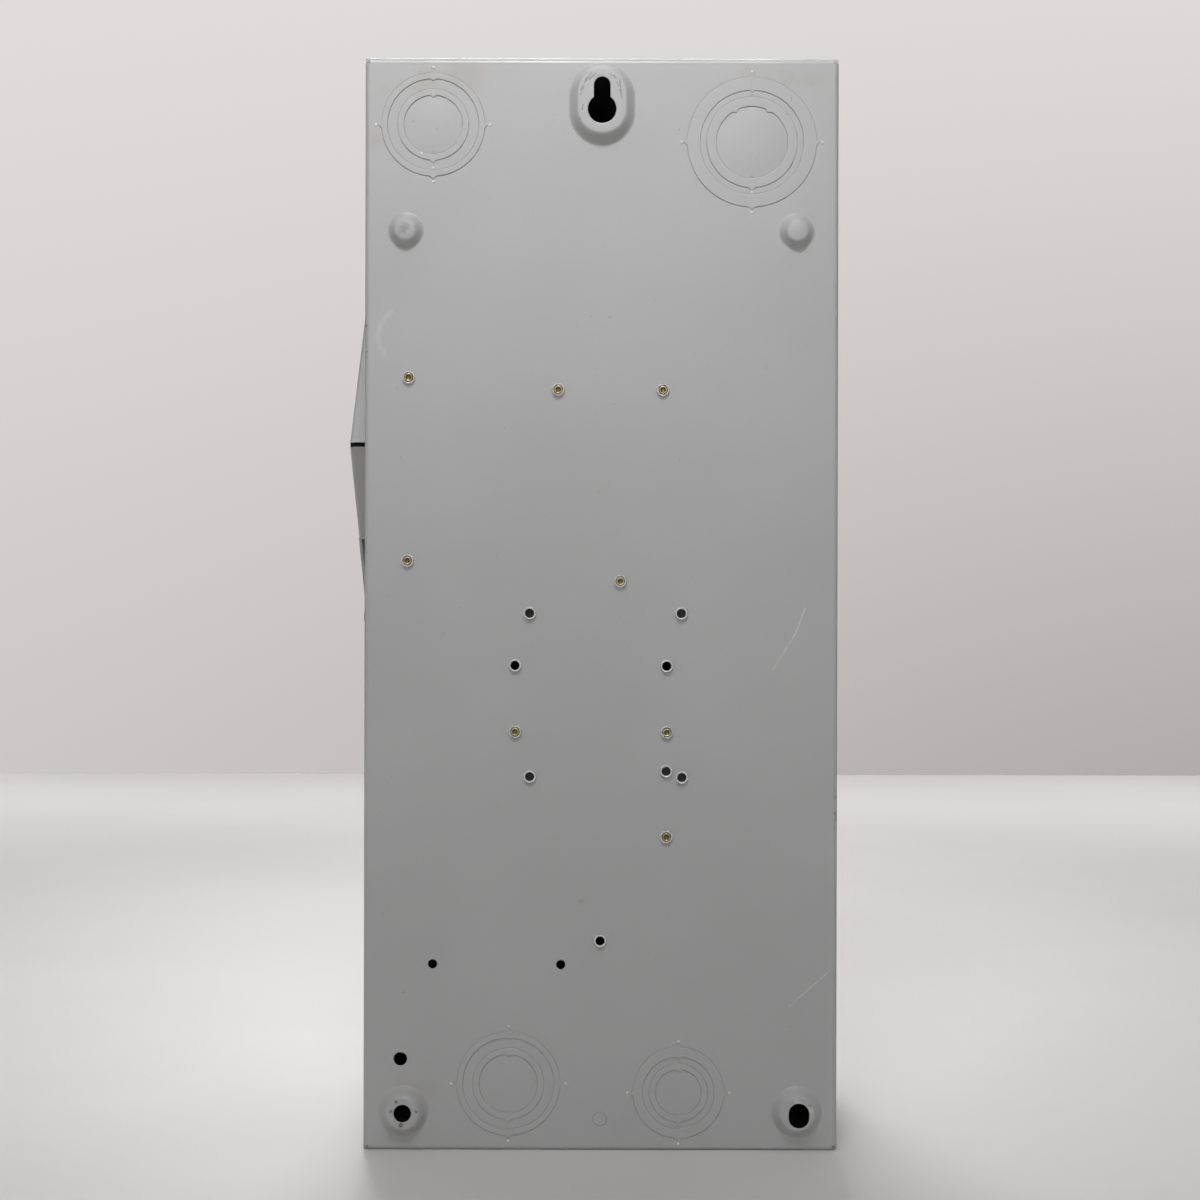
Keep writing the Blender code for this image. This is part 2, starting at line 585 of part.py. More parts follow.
def drive_link():
    """The strap that keeps the two cranks parallel."""
    low, high = LINK_X
    first, second = HANDLE_AXIS + CRANK_ARM, ROTOR_AXIS + CRANK_ARM
    along = (second - first).normalized()
    side = Vector((0, -along.z, along.y)) * 4 * MM
    ends = [first + side, first - side, second - side, second + side]
    strap = plate("drive_link", [(p.y, p.z) for p in ends], low, high, "X", ZINC)
    for i, point in enumerate((first, second)):
        join(strap, rod(f"link_eye_{i}", at_x(low + 0.01 * MM, point), at_x(high - 0.01 * MM, point), 5.2 * MM, sides=16))
        cut(strap, rod(f"link_bore_{i}", at_x(low - MM, point), at_x(high + MM, point), CRANK_PIN_RADIUS + GAP, sides=16))
    return strap


def rotor_bar():
    """The moulded crossbar, with a slot for each blade."""
    low, high = BARRIERS[0] + 2 * MM, BARRIERS[-1] - 2 * MM
    half = ROTOR_HALF
    bar = block("rotor_bar", (low, ROTOR_Y - half, ROTOR_Z - half), (high, ROTOR_Y + half, ROTOR_Z + half), BLACK_MOULDING, MM, 1)
    cut(bar, rod("bar_bore", (low - MM, ROTOR_Y, ROTOR_Z), (high + MM, ROTOR_Y, ROTOR_Z), STUB_RADIUS + GAP, sides=16))
    for x in POLES:
        cut(bar, block("slot", (x - 1.5 * MM, ROTOR_Y - 20 * MM, ROTOR_Z - 7.3 * MM), (x + 1.5 * MM, ROTOR_Y - 5 * MM, ROTOR_Z + 7.3 * MM)))
    return bar


def moving_blade(number, x):
    """A knife blade with a tapered nose, pointing forward while the switch is off."""
    half = 7 * MM
    root, nose = ROTOR_Y - 5.3 * MM, ROTOR_Y - BLADE_LENGTH
    outline = [
        (root, ROTOR_Z - half), (root, ROTOR_Z + half), (nose + 4 * MM, ROTOR_Z + half),
        (nose, ROTOR_Z + half - 5 * MM), (nose, ROTOR_Z - half + 2 * MM), (nose + 2 * MM, ROTOR_Z - half),
    ]
    return plate(f"moving_blade_{number}", outline, x - 1.2 * MM, x + 1.2 * MM, "X", COPPER)


def handle_lever():
    """The steel lever inside the housing, with its hub on the shaft."""
    low, high = LEVER_X
    along = Vector((0, -math.cos(HANDLE_REST), math.sin(HANDLE_REST)))
    side = Vector((0, -along.z, along.y)) * LEVER_WIDTH / 2
    end = HANDLE_AXIS + along * (HANDLE_LENGTH - 8 * MM)
    outline = [HANDLE_AXIS + side, HANDLE_AXIS - side, end - side * 0.7, end + side * 0.7]
    lever = plate("handle_lever", [(p.y, p.z) for p in outline], low, high, "X", DARK_STEEL)
    join(lever, rod("hub", at_x(low - 0.6 * MM, HANDLE_AXIS), at_x(high + MM, HANDLE_AXIS), 9 * MM))
    return cut(
        lever,
        rod("hub_bore", at_x(low - 2 * MM, HANDLE_AXIS), at_x(high + 2 * MM, HANDLE_AXIS), SHAFT_RADIUS + GAP),
    )


def handle_grip():
    """The moulded grip over the end of the lever."""
    along = Vector((0, -math.cos(HANDLE_REST), math.sin(HANDLE_REST)))
    side = Vector((0, -along.z, along.y))
    start, end = HANDLE_AXIS + along * GRIP_START, HANDLE_AXIS + along * HANDLE_LENGTH
    half, nose = 11 * MM, 8 * MM
    outline = [
        start + side * half, start - side * half,
        end - along * nose - side * half, end - side * (half - nose * 0.8),
        end + side * (half - nose * 0.8), end - along * nose + side * half,
    ]
    grip = plate("handle_grip", [(p.y, p.z) for p in outline], SIDE + 2.8 * MM, SIDE + 16.8 * MM, "X", RED_GRIP)
    rounded = grip.modifiers.new("rounded", "BEVEL")
    rounded.width, rounded.segments = 2.5 * MM, 2
    reach = side * (LEVER_WIDTH / 2 + GAP)
    back, front = start - along * 5 * MM, end - along * 7 * MM
    socket = [back + reach, back - reach, front - reach, front + reach]
    low, high = LEVER_X
    return cut(grip, plate("grip_socket", [(p.y, p.z) for p in socket], low - GAP, high + GAP, "X"))


def shaft_bushing():
    """A flanged bush that carries the shaft through the right wall."""
    bore, body, flange = SHAFT_RADIUS + GAP, 7.7 * MM, 9.3 * MM
    outer = SIDE + 2.2 * MM
    profile = [
        (bore, outer), (flange, outer), (flange, SIDE + GAP), (body, SIDE + GAP),
        (body, SIDE - 4 * MM), (bore, SIDE - 4 * MM), (bore, outer),
    ]
    return turned("shaft_bushing", profile, (0, HANDLE_Y, HANDLE_Z), (1, 0, 0), BLACK_MOULDING, 24)


# ---------------------------------------------------------------- door
def door_pan():
    """The front cover: a shallow pan that closes on the box's lip, with a raised field and a hasp."""
    half = SIDE - 0.2 * MM
    door = block("door_pan", (-half, DOOR_FRONT, 0.6 * MM), (half, DOOR_REAR, HEIGHT - 0.6 * MM), GREY_PAINT, 1.6 * MM)
    inner = half - SHEET
    cut(door, block("door_hollow", (-inner, DOOR_FRONT + SHEET, 2.1 * MM), (inner, DOOR_REAR + MM, HEIGHT - 2.1 * MM)))
    join(
        door,
        block("door_field", (-86 * MM, DOOR_FRONT - 1.6 * MM, 60 * MM), (66 * MM, DOOR_FRONT + 0.7 * MM, 467 * MM), None, 1.5 * MM, 1),
    )
    latch_bore = rod("latch_bore", (LATCH_X, DOOR_FRONT - 5 * MM, LATCH_Z), (LATCH_X, DOOR_REAR, LATCH_Z), 5.3 * MM)
    return cut(door, latch_bore)


def latch():
    """A quarter-turn latch: a slotted knob in front, and the cam that goes behind the box's lip when turned."""
    front = DOOR_FRONT
    cam_y = FRONT + SHEET + 1.0 * MM
    profile = [
        (0, 5 * MM), (8 * MM, 5 * MM), (9.5 * MM, 3.5 * MM), (9.5 * MM, GAP), (5 * MM, GAP),
        (5 * MM, -4 * MM), (3 * MM, -4 * MM), (3 * MM, front - cam_y - 3.5 * MM), (0, front - cam_y - 3.5 * MM),
    ]
    knob = turned("latch_knob", profile, (LATCH_X, front, LATCH_Z), (0, -1, 0), BLACK_MOULDING, 24)
    slot = block(
        "knob_slot", (LATCH_X - MM, front - 6 * MM, LATCH_Z - 12 * MM), (LATCH_X + MM, front - 2.5 * MM, LATCH_Z + 12 * MM)
    )
    cut(knob, slot)
    cam = block(
        "latch_cam", (LATCH_X - 7 * MM, cam_y, LATCH_Z - 7 * MM), (LATCH_X + 7 * MM, cam_y + 2 * MM, LATCH_Z + 17 * MM), ZINC, MM, 1
    )
    cut(cam, rod("cam_bore", (LATCH_X, cam_y - 5 * MM, LATCH_Z), (LATCH_X, cam_y + 5 * MM, LATCH_Z), 3 * MM + GAP, sides=16))
    return knob, cam


def interlock_hook():
    """The hook inside the door that the mechanism holds while the switch is on."""
    x = 96 * MM
    y = DOOR_FRONT + SHEET + GAP
    outline = [
        (y, 300 * MM), (y, 330 * MM), (y + 2 * MM, 330 * MM), (y + 2 * MM, 322 * MM), (-46 * MM, 322 * MM),
        (-46 * MM, 330 * MM), (-40 * MM, 326 * MM), (-40 * MM, 310 * MM), (y + 2 * MM, 310 * MM), (y + 2 * MM, 300 * MM),
    ]
    return plate("interlock_hook", outline, x - 1.2 * MM, x + 0.8 * MM, "X", ZINC)


# ---------------------------------------------------------------- assembly
def pivot(name, location, pieces):
    """An empty on a joint's axis, with the pieces that move about it as its children."""
    empty = bpy.data.objects.new(name, None)
    empty.location = location
    PARTS.objects.link(empty)
    for piece in pieces:
        piece.parent = empty
        piece.matrix_parent_inverse = Matrix.Translation(location).inverted()


def main():
    enclosure_box()
    handle_housing()
    hinges = [hinge(which, z) for which, z in HINGE_HEIGHTS.items()]
    mechanism_frame()
    drive_spring()
    shaft_bushing()
    line_base()
    moulded_base("load_base", LOAD_BASE_Z, LOAD_SCREWS)
    line_shield()
    for number, x in enumerate(POLES, 1):
        line_contact(number, x)
        lug(f"line_lug_{number}", x, 373 * MM, 389 * MM)
        arc_chute(number, x)
        fuse_clip(f"upper_fuse_clip_{number}", x, (252 * MM, 284 * MM), (258 * MM, 270 * MM))
        fuse_clip(f"lower_fuse_clip_{number}", x, (144 * MM, 211 * MM), (197 * MM, 209 * MM))
        lug(f"load_lug_{number}", x, 146 * MM, 162 * MM)
        fuse(number, x)
    for number, (x, z) in enumerate(LINE_SCREWS, 1):
        screw(f"line_base_screw_{number}", x, z, 59.5 * MM)
    for number, (x, z) in enumerate(LOAD_SCREWS, 1):
        screw(f"load_base_screw_{number}", x, z, 59.5 * MM)
    for number, (x, z) in enumerate(FRAME_SCREWS, 1):
        screw(f"frame_screw_{number}", x, z, BACK_INSIDE - 2.6 * MM)
    knob, cam = latch()
    shaft = rod("handle_shaft", at_x(80 * MM, HANDLE_AXIS), at_x(125.9 * MM, HANDLE_AXIS), SHAFT_RADIUS, ZINC)
    stub = rod("rotor_shaft", at_x(BARRIERS[0] - 8 * MM, ROTOR_AXIS), at_x(93 * MM, ROTOR_AXIS), STUB_RADIUS, ZINC)
    blades = [moving_blade(number, x) for number, x in enumerate(POLES, 1)]
    pivot("door_axis", (HINGE_X, HINGE_Y, 0), [door_pan(), interlock_hook(), *(h["door"] for h in hinges)])
    pivot("latch_axis", (LATCH_X, DOOR_FRONT, LATCH_Z), [knob, cam])
    handle_crank = crank("handle_crank", HANDLE_AXIS, SHAFT_RADIUS + GAP)
    rotor_crank = crank("rotor_crank", ROTOR_AXIS, STUB_RADIUS + GAP)
    pivot("handle_axis", HANDLE_AXIS, [shaft, handle_lever(), handle_grip(), handle_crank])
    pivot("rotor_axis", ROTOR_AXIS, [stub, rotor_bar(), rotor_crank, *blades])
    pivot("link_axis", HANDLE_AXIS + CRANK_ARM, [drive_link()])


main()
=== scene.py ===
"""Looks for a side-operated, fusible enclosed safety switch, seen from its wall side.

Everything is in metres in the CAD row frame: +X right seen from the front, +Y the wall side, +Z up.
"""

import json
import math
import random
from collections import namedtuple

import bmesh
import bpy
from mathutils import Matrix, Vector
from mathutils.geometry import delaunay_2d_cdt

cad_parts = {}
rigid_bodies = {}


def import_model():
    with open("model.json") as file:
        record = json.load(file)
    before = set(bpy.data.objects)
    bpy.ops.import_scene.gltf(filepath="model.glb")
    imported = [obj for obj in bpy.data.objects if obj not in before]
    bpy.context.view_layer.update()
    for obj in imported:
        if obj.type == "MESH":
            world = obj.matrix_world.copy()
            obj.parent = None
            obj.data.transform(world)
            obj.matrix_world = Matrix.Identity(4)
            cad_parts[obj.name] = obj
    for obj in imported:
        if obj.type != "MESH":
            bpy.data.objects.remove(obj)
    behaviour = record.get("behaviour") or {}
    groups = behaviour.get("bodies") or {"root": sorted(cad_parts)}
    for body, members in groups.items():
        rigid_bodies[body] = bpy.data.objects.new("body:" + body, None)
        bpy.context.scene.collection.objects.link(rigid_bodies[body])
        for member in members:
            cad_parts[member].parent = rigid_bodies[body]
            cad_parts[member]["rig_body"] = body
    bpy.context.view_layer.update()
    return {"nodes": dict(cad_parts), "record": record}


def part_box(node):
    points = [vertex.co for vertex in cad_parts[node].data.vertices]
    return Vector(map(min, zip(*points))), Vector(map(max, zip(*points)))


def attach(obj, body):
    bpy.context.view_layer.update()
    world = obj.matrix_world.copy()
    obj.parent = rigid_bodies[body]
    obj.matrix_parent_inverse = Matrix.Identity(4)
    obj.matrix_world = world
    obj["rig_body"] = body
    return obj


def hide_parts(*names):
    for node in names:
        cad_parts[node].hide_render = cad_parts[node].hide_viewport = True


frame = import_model()
random.seed(7)

# ---- dimensions
MM = 0.001
SHEET = 1.5 * MM
BEND = 2.4 * MM
LIP = 12 * MM
WELD = 2e-6
TAU = 2 * math.pi


def mm(*lengths):
    return tuple(length * MM for length in lengths)


def centre_of(node):
    low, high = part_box(node)
    return [(a + b) / 2 for a, b in zip(low, high)]


shell_low, shell_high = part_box("enclosure_box")
SIDE, HEIGHT, FRONT = shell_high.x, shell_high.z, shell_low.y
BACK = 75 * MM
BOSS_HEIGHT = shell_high.y - BACK

door_low, door_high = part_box("door_pan")
DOOR_FIELD_RISE = 1.6 * MM
DOOR_FACE, DOOR_REAR = door_low.y + DOOR_FIELD_RISE, door_high.y

housing_low, housing_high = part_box("handle_housing")
HANDLE_Z = (housing_low.z + housing_high.z) / 2
APEX_Y = housing_high.y
HOUSING_TOP = housing_high.x
LOWER_CHEEK = 47 * MM * math.sqrt(2)

# knockout diameters by trade size
TRADE = {
    "1/2": 22.2 * MM, "3/4": 28.2 * MM, "1": 34.5 * MM, "1-1/4": 44 * MM, "1-1/2": 50 * MM, "2": 62.7 * MM,
}
# on the wall side: x, z, ring sizes from the outermost, angles of the disc's tie tabs, and its dome
BACK_KNOCKOUTS = (
    (*mm(81.6, 495.6), ("1-1/2", "1-1/4", "1", "3/4"), (90, 210), 0.40 * MM),
    (*mm(-72.5, 487.4), ("2", "1-1/2", "1-1/4", "1"), (62, 118), 0.60 * MM),
    (*mm(44.3, 32.2), ("1-1/2", "1-1/4", "1", "3/4"), (90, 270), 0.30 * MM),
    (*mm(-37.9, 28.0), ("1-1/4", "1", "3/4", "1/2"), (90, 270), 0.25 * MM),
)
# how far outside the outermost ring the four pips lie
PIP_OUT = 2.66 * MM
# tie tabs of the rings, from the outermost: the angles, and how far the cut swings out round them
RING_TABS = (((0, 90, 180, 270), 1.5 * MM), ((90,), -0.9 * MM), ((270,), 1.5 * MM))
DISC_TAB_DEPTH = -1.2 * MM
# places on the back, as x and z
PIN_KNOCKOUT = mm(0.1, 15.2)
KEYHOLE = mm(0, 502.2)
KEYHOLE_RISE = 2.8 * MM
LEFT_FOOT, RIGHT_FOOT = mm(95, 18.9), mm(-95, 18.9)
RIGHT_SLOT = mm(-95.7, 18.1)
DIMPLES = mm(94.7, 444.3), mm(-94.2, 444.2)
SCREWS = {
    "line_base_screw": (mm(20.9, 367.5), mm(-29.7, 367.5), mm(-9.3, 275.1)),
    "load_base_screw": (mm(41.4, 202.3), mm(-31.9, 202.1), mm(-31.8, 151.6)),
    "frame_screw": (mm(93.2, 373.3), mm(93.6, 284.8)),
}
SPARE_HOLES = (
    mm(34.5, 259.5), mm(-38.8, 259.5), mm(41.5, 234.3), mm(-31.8, 234.1),
    mm(34.3, 180.6), mm(-31.6, 183.3), mm(-39.2, 180.3), mm(0.1, 101.3),
)
COLLARS = [place for group in SCREWS.values() for place in group] + list(SPARE_HOLES)
# with the radius in mm
PLAIN_HOLES = ((mm(81, 89.9), 2.2), (mm(19.1, 89.7), 2.2), (mm(96.5, 44), 3.2))
COLLAR_HEIGHT, COLLAR_RADIUS, COLLAR_BORE = mm(1.8, 2.95, 2.22)
SCREW_TIP_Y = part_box("line_base_screw_1")[1].y


# ---- materials
class Look:
    """A procedural material in the making: short names for the nodes it uses."""

    def __init__(self, name, roughness, metallic=0.0):
        self.material = bpy.data.materials.new(name)
        self.material.use_nodes = True
        self.tree = self.material.node_tree
        self.shader = self.tree.nodes["Principled BSDF"]
        self.set("Roughness", roughness)
        self.set("Metallic", metallic)
        self.place = self.add("TexCoord").outputs["Object"]

    def add(self, kind, **settings):
        node = self.tree.nodes.new("ShaderNode" + kind)
        for key, value in settings.items():
            setattr(node, key, value)
        return node

    def wire(self, value, socket):
        if isinstance(value, bpy.types.NodeSocket):
            self.tree.links.new(value, socket)
        elif hasattr(value, "__len__") and len(value) == 3 and socket.type == "RGBA":
            socket.default_value = (*value, 1)
        else:
            socket.default_value = value

    def maths(self, operation, first, second=None):
        node = self.add("Math", operation=operation)
        for socket, value in zip(node.inputs, (first, second)):
            if value is not None:
                self.wire(value, socket)
        return node.outputs[0]

    def times(self, first, second):
        return self.maths("MULTIPLY", first, second)

    def gap(self, first, second):
        return self.maths("ABSOLUTE", self.maths("SUBTRACT", first, second))

    def vector(self, operation, first, second=None):
        node = self.add("VectorMath", operation=operation)
        self.wire(first, node.inputs[0])
        if second is not None:
            self.wire(second, node.inputs[1])
        return node.outputs["Value" if operation in ("LENGTH", "DISTANCE", "DOT_PRODUCT") else "Vector"]

    def noise(self, scale, detail=2.0, roughness=0.5, stretch=(1, 1, 1), offset=(0, 0, 0)):
        moved = self.vector("MULTIPLY_ADD", self.place, stretch)
        self.wire(offset, moved.node.inputs[2])
        node = self.add("TexNoise")
        self.wire(moved, node.inputs["Vector"])
        for key, value in (("Scale", scale), ("Detail", detail), ("Roughness", roughness)):
            node.inputs[key].default_value = value
        return node.outputs[0]

    def span(self, value, low, high, low_to=0.0, high_to=1.0):
        """A smooth step from low_to to high_to as value goes from low to high."""
        node = self.add("MapRange", interpolation_type="SMOOTHSTEP")
        for socket, number in zip(node.inputs, (value, low, high, low_to, high_to)):
            self.wire(number, socket)
        return node.outputs[0]

    def mix(self, factor, first, second):
        node = self.add("Mix", data_type="RGBA")
        self.wire(factor, node.inputs[0])
        self.wire(first, node.inputs[6])
        self.wire(second, node.inputs[7])
        return node.outputs[2]

    def bump(self, height, distance, strength=1.0):
        node = self.add("Bump")
        node.inputs["Strength"].default_value = strength
        node.inputs["Distance"].default_value = distance
        self.wire(height, node.inputs["Height"])
        previous = self.shader.inputs["Normal"].links
        if previous:
            self.tree.links.new(previous[0].from_socket, node.inputs["Normal"])
        self.tree.links.new(node.outputs[0], self.shader.inputs["Normal"])

    def set(self, name, value):
        """Sets an input of the shader to a number, a colour or a socket."""
        self.wire(value, self.shader.inputs[name])

    def paint(self, colour):
        self.set("Base Color", colour)

    def axes(self):
        node = self.add("SeparateXYZ")
        self.wire(self.place, node.inputs[0])
        return node.outputs

    def either(self, *masks):
        total = masks[0]
        for mask in masks[1:]:
            total = self.maths("MAXIMUM", total, mask)
        return total

    def near_line(self, start, end, width, fade):
        """A mask that is 1 on the segment from start to end and 0 beyond width + fade of it."""
        start, along = Vector(start), Vector(end) - Vector(start)
        offset = self.vector("SUBTRACT", self.place, tuple(start))
        share = self.maths("DIVIDE", self.vector("DOT_PRODUCT", offset, tuple(along)), along.length_squared)
        share = self.maths("MINIMUM", self.maths("MAXIMUM", share, 0.0), 1.0)
        scaled = self.add("VectorMath", operation="SCALE")
        self.wire(tuple(along), scaled.inputs[0])
        self.wire(share, scaled.inputs["Scale"])
        distance = self.vector("DISTANCE", offset, scaled.outputs[0])
        return self.span(distance, width, width + fade, 1.0, 0.0)

    def near_point(self, centre, inner, outer):
        """A soft round mask about a point: 1 inside inner, 0 outside outer."""
        offset = self.vector("SUBTRACT", self.place, centre)
        return self.span(self.vector("LENGTH", offset), inner, outer, 1.0, 0.0)


PAINT_GREY = (0.440, 0.440, 0.442)
PAINT_LIGHT = (0.462, 0.462, 0.464)
BARE_STEEL = (0.16, 0.15, 0.14)
GRIME = (0.17, 0.14, 0.11)
DARK_DIRT = (0.075, 0.055, 0.045)
# the near-white of painted highlights: glints on the collars' rims, the knockouts' pips and a few spots
PAINTED_GLINT_COLOUR = (0.84, 0.83, 0.82)


def powder_coat(name, marks=None):
    """Satin light grey enamel: faint mottling, orange peel, dust specks and chipped sheet edges."""
    look = Look(name, 0.42)
    look.set("Coat Weight", 0.3)
    look.set("Coat Roughness", 0.24)
    mottle = look.noise(9, 3)
    colour = look.mix(look.span(mottle, 0.35, 0.65), PAINT_GREY, PAINT_LIGHT)
    specks = look.span(look.noise(520, 1, offset=(3, 1, 7)), 0.755, 0.79)
    colour = look.mix(look.times(specks, 0.35), colour, GRIME)
    if marks:
        colour = marks(look, colour)
    look.paint(colour)
    haze = look.span(look.noise(30, 3, offset=(1, 5, 2)), 0.3, 0.7, 0.36, 0.50)
    look.set("Roughness", haze)
    look.bump(look.noise(6, 1, offset=(9, 9, 9)), 3.0 * MM, 0.35)
    look.bump(look.noise(420, 2), 0.05 * MM, 0.5)
    look.bump(look.noise(1900, 1), 0.012 * MM, 0.6)
    return look.material


def edge_chips(look, colour, low, high, face_y):
    """Chipped paint along the long edges of a box from low to high, next to its face at face_y."""
    reach = 1.3 * MM
    x, y, _ = look.axes()
    middle, half = (low.x + high.x) / 2, (high.x - low.x) / 2
    from_side = look.maths("SUBTRACT", half, look.gap(x, middle))
    corner = look.maths("ADD", from_side, look.gap(face_y, y))
    patches = look.span(look.noise(70, 3, 0.65, offset=(5, 5, 5)), 0.60, 0.66)
    rarely = look.span(look.noise(11, 1, offset=(2, 8, 4)), 0.52, 0.60)
    mask = look.times(look.span(corner, reach, reach * 1.7, 1.0, 0.0), patches)
    return look.mix(look.times(mask, rarely), colour, BARE_STEEL)


# in mm on the wall side. Lines: x and z of start and end, half width, fade. Points: x, z, inner, outer
SMEARS = (
    (64, 519, 96, 520, 3, 9), (104, 512, 110, 488, 1, 6), (-70, 521, -106, 517, 1, 5), (83, 30, 95, 31, 1, 7),
)
KEYHOLE_SCRATCHES = (
    (7.4, 517.2, 10.2, 511.0, 0.1, 0.5), (8.4, 515.4, 11.0, 506.5, 0.05, 0.45),
    (3.0, 519.2, 8.0, 514.8, 0.1, 0.6), (5.2, 519.4, 9.6, 513.0, 0.05, 0.4),
    (-6.0, 518.2, -10.4, 506.0, 0.05, 0.45), (-8.4, 516.0, -9.8, 503.0, 0.1, 0.5),
    (9.2, 504.0, 10.4, 497.5, 0.1, 0.5), (-2.0, 519.6, -5.6, 517.6, 0.1, 0.5),
)
FOOT_CHIPS = (
    (100.8, 19.9, 0.4, 1.5), (88.4, 19.7, 0.3, 1.1), (95.6, 13.3, 0.5, 1.9), (98.0, 24.5, 0.3, 1.2),
    (-90.0, 12.6, 0.2, 1.0), (-100.9, 23.4, 0.2, 1.1),
)
WORN_SLOT = ((-94.4, 25.0, -101.8, 20.6, 0.5, 1.2),)
SIDE_SCUFF = ((101.7, 405.3), (106.5, 400.0), (108.1, 393.6), (107.2, 388.0), (104.9, 385.0))
HAIRLINES = (
    (-98.5, 262, -94, 250, 0.1, 0.5), (-94, 250, -83.5, 233, 0.1, 0.5), (-112, 88, -91.5, 70, 0.05, 0.5),
)
EDGE_NICKS = (
    (113.7, 396.6), (113.9, 391.4), (113.5, 385.8), (113.8, 383.2), (-113.8, 447.0), (113.9, 231.5),
)
# painted glints: light spots where a pip and a disc's rim catch the light
GLINT_SPOTS = ((81.6, 474.9, 0.4, 0.9), (-72.5, 463.5, 0.4, 0.9), (87.2, 482.0, 0.3, 0.7))
STAINS = ((9.2, 120.4, 0.5, 2.4), (-4, 403, 0.2, 1.6), (94.9, 440.6, 0.4, 2.2))
DIMPLE_DIRT = ((DIMPLES[0][0] / MM, DIMPLES[0][1] / MM, 1, 5),)


def back_marks(look, colour):
    """The wall side's marks: painted highlights on the collars' rims, the pips and a few spots, then smears,
    scratches, dirt and a few chips.
    """
    top = BACK + BOSS_HEIGHT

    def lines(rows, y):
        return look.either(*(
            look.near_line((x1, y, z1), (x2, y, z2), width, fade)
            for x1, z1, x2, z2, width, fade in (mm(*row) for row in rows)
        ))

    def points(rows, y):
        return look.either(*(
            look.near_point((x, y, z), low, high) for x, z, low, high in (mm(*row) for row in rows)
        ))

    def layer(under, mask, strength, over):
        return look.mix(look.times(mask, strength), under, over)

    colour = edge_chips(look, colour, Vector((-SIDE, FRONT, 0)), Vector((SIDE, BACK, HEIGHT)), BACK)
    x, y, z = look.axes()
    # painted highlight: the top of each drawn collar is lightened as if it caught the light
    rim = look.span(y, BACK + COLLAR_HEIGHT - 1.2 * MM, BACK + COLLAR_HEIGHT - 0.5 * MM)
    # only at the heights of the collars, so that the bosses keep their paint
    collars_only = look.span(look.gap(z, 240 * MM), *mm(150, 170), 1.0, 0.0)
    colour = layer(colour, look.times(rim, collars_only), 0.85, PAINTED_GLINT_COLOUR)
    # painted highlight: a light spot on each knockout's four pips, as a glint
    for centre_x, centre_z, sizes, _, _ in BACK_KNOCKOUTS:
        across, upward = look.gap(x, centre_x), look.gap(z, centre_z)
        off_axis = look.span(look.maths("MINIMUM", across, upward), *mm(0.3, 0.8), 1.0, 0.0)
        off_circle = look.gap(look.maths("MAXIMUM", across, upward), TRADE[sizes[0]] / 2 + PIP_OUT)
        pips = look.times(off_axis, look.span(off_circle, *mm(0.3, 0.8), 1.0, 0.0))
        colour = layer(colour, pips, 0.8, PAINTED_GLINT_COLOUR)
    cloudy = look.span(look.noise(60, 3, 0.6, offset=(1, 2, 3)), 0.38, 0.62)
    colour = layer(colour, look.times(lines(SMEARS, BACK), cloudy), 0.26, (0.36, 0.33, 0.26))
    broken = look.span(look.noise(260, 3, 0.6, offset=(4, 2, 2)), 0.42, 0.54)
    scratches = look.times(lines(KEYHOLE_SCRATCHES, top), look.times(broken, 0.6))
    chips = look.times(points(FOOT_CHIPS, top), broken)
    nicks = points([(x, z, 0.25, 0.8) for x, z in EDGE_NICKS], BACK)
    dimple_dirt = look.times(points(DIMPLE_DIRT, BACK + 5 * MM), broken)
    dark = look.either(scratches, chips, nicks, look.times(dimple_dirt, 0.45))
    colour = layer(colour, dark, 0.8, DARK_DIRT)
    colour = layer(colour, lines(WORN_SLOT, top), 0.75, (0.62, 0.61, 0.58))
    # painted glints at the listed spots
    colour = layer(colour, points(GLINT_SPOTS, BACK + 0.4 * MM), 0.85, PAINTED_GLINT_COLOUR)
    scuff = lines([(*start, *end, 0.5, 1.5) for start, end in zip(SIDE_SCUFF, SIDE_SCUFF[1:])], BACK)
    pale = look.either(look.times(scuff, 0.30), look.times(lines(HAIRLINES, BACK), 0.8))
    patchy = look.span(look.noise(300, 2, offset=(7, 7, 1)), 0.36, 0.5, 0.2, 0.8)
    colour = layer(colour, pale, patchy, (0.66, 0.66, 0.67))
    return layer(colour, points(STAINS, BACK), 0.35, (0.30, 0.25, 0.19))


def hollow_painted_shade(look, colour):
    """Painted shade: the hollow of each screw's tip darkened to a dull brown."""
    below = look.maths("SUBTRACT", SCREW_TIP_Y, look.axes()[1])
    band = look.times(look.span(below, *mm(0.14, 0.4)), look.span(below, *mm(1.6, 2), 1.0, 0.0))
    return look.mix(band, colour, (0.24, 0.18, 0.07))


def door_marks(look, colour):
    return edge_chips(look, colour, door_low, door_high, DOOR_FACE)


def plated(name, colour, tint, roughness, marks=None):
    """Plated steel or bare alloy: cloudy colour, drawn streaks and small pits."""
    look = Look(name, roughness, 1.0)
    cloud = look.span(look.noise(140, 3), 0.3, 0.7)
    colour = look.mix(cloud, colour, tint)
    look.paint(marks(look, colour) if marks else colour)
    streaks = look.noise(300, 2, 0.6, stretch=(1, 1, 12))
    look.set("Roughness", look.span(streaks, 0.3, 0.7, roughness - 0.08, roughness + 0.12))
    look.bump(streaks, 0.02 * MM, 0.5)
    look.bump(look.noise(1500, 2, offset=(2, 2, 2)), 0.02 * MM, 0.4)
    return look.material


def moulded(name, colour, worn, roughness, grain=900):
    """Moulded plastic: faint flow marks, a fine spark-eroded grain and dusty patches."""
    look = Look(name, roughness)
    dust = look.span(look.noise(45, 4, 0.65), 0.45, 0.75)
    look.paint(look.mix(look.times(dust, 0.5), colour, worn))
    look.set("Roughness", look.span(dust, 0, 1, roughness, roughness + 0.12))
    look.bump(look.noise(grain, 2), 0.03 * MM, 0.6)
    return look.material


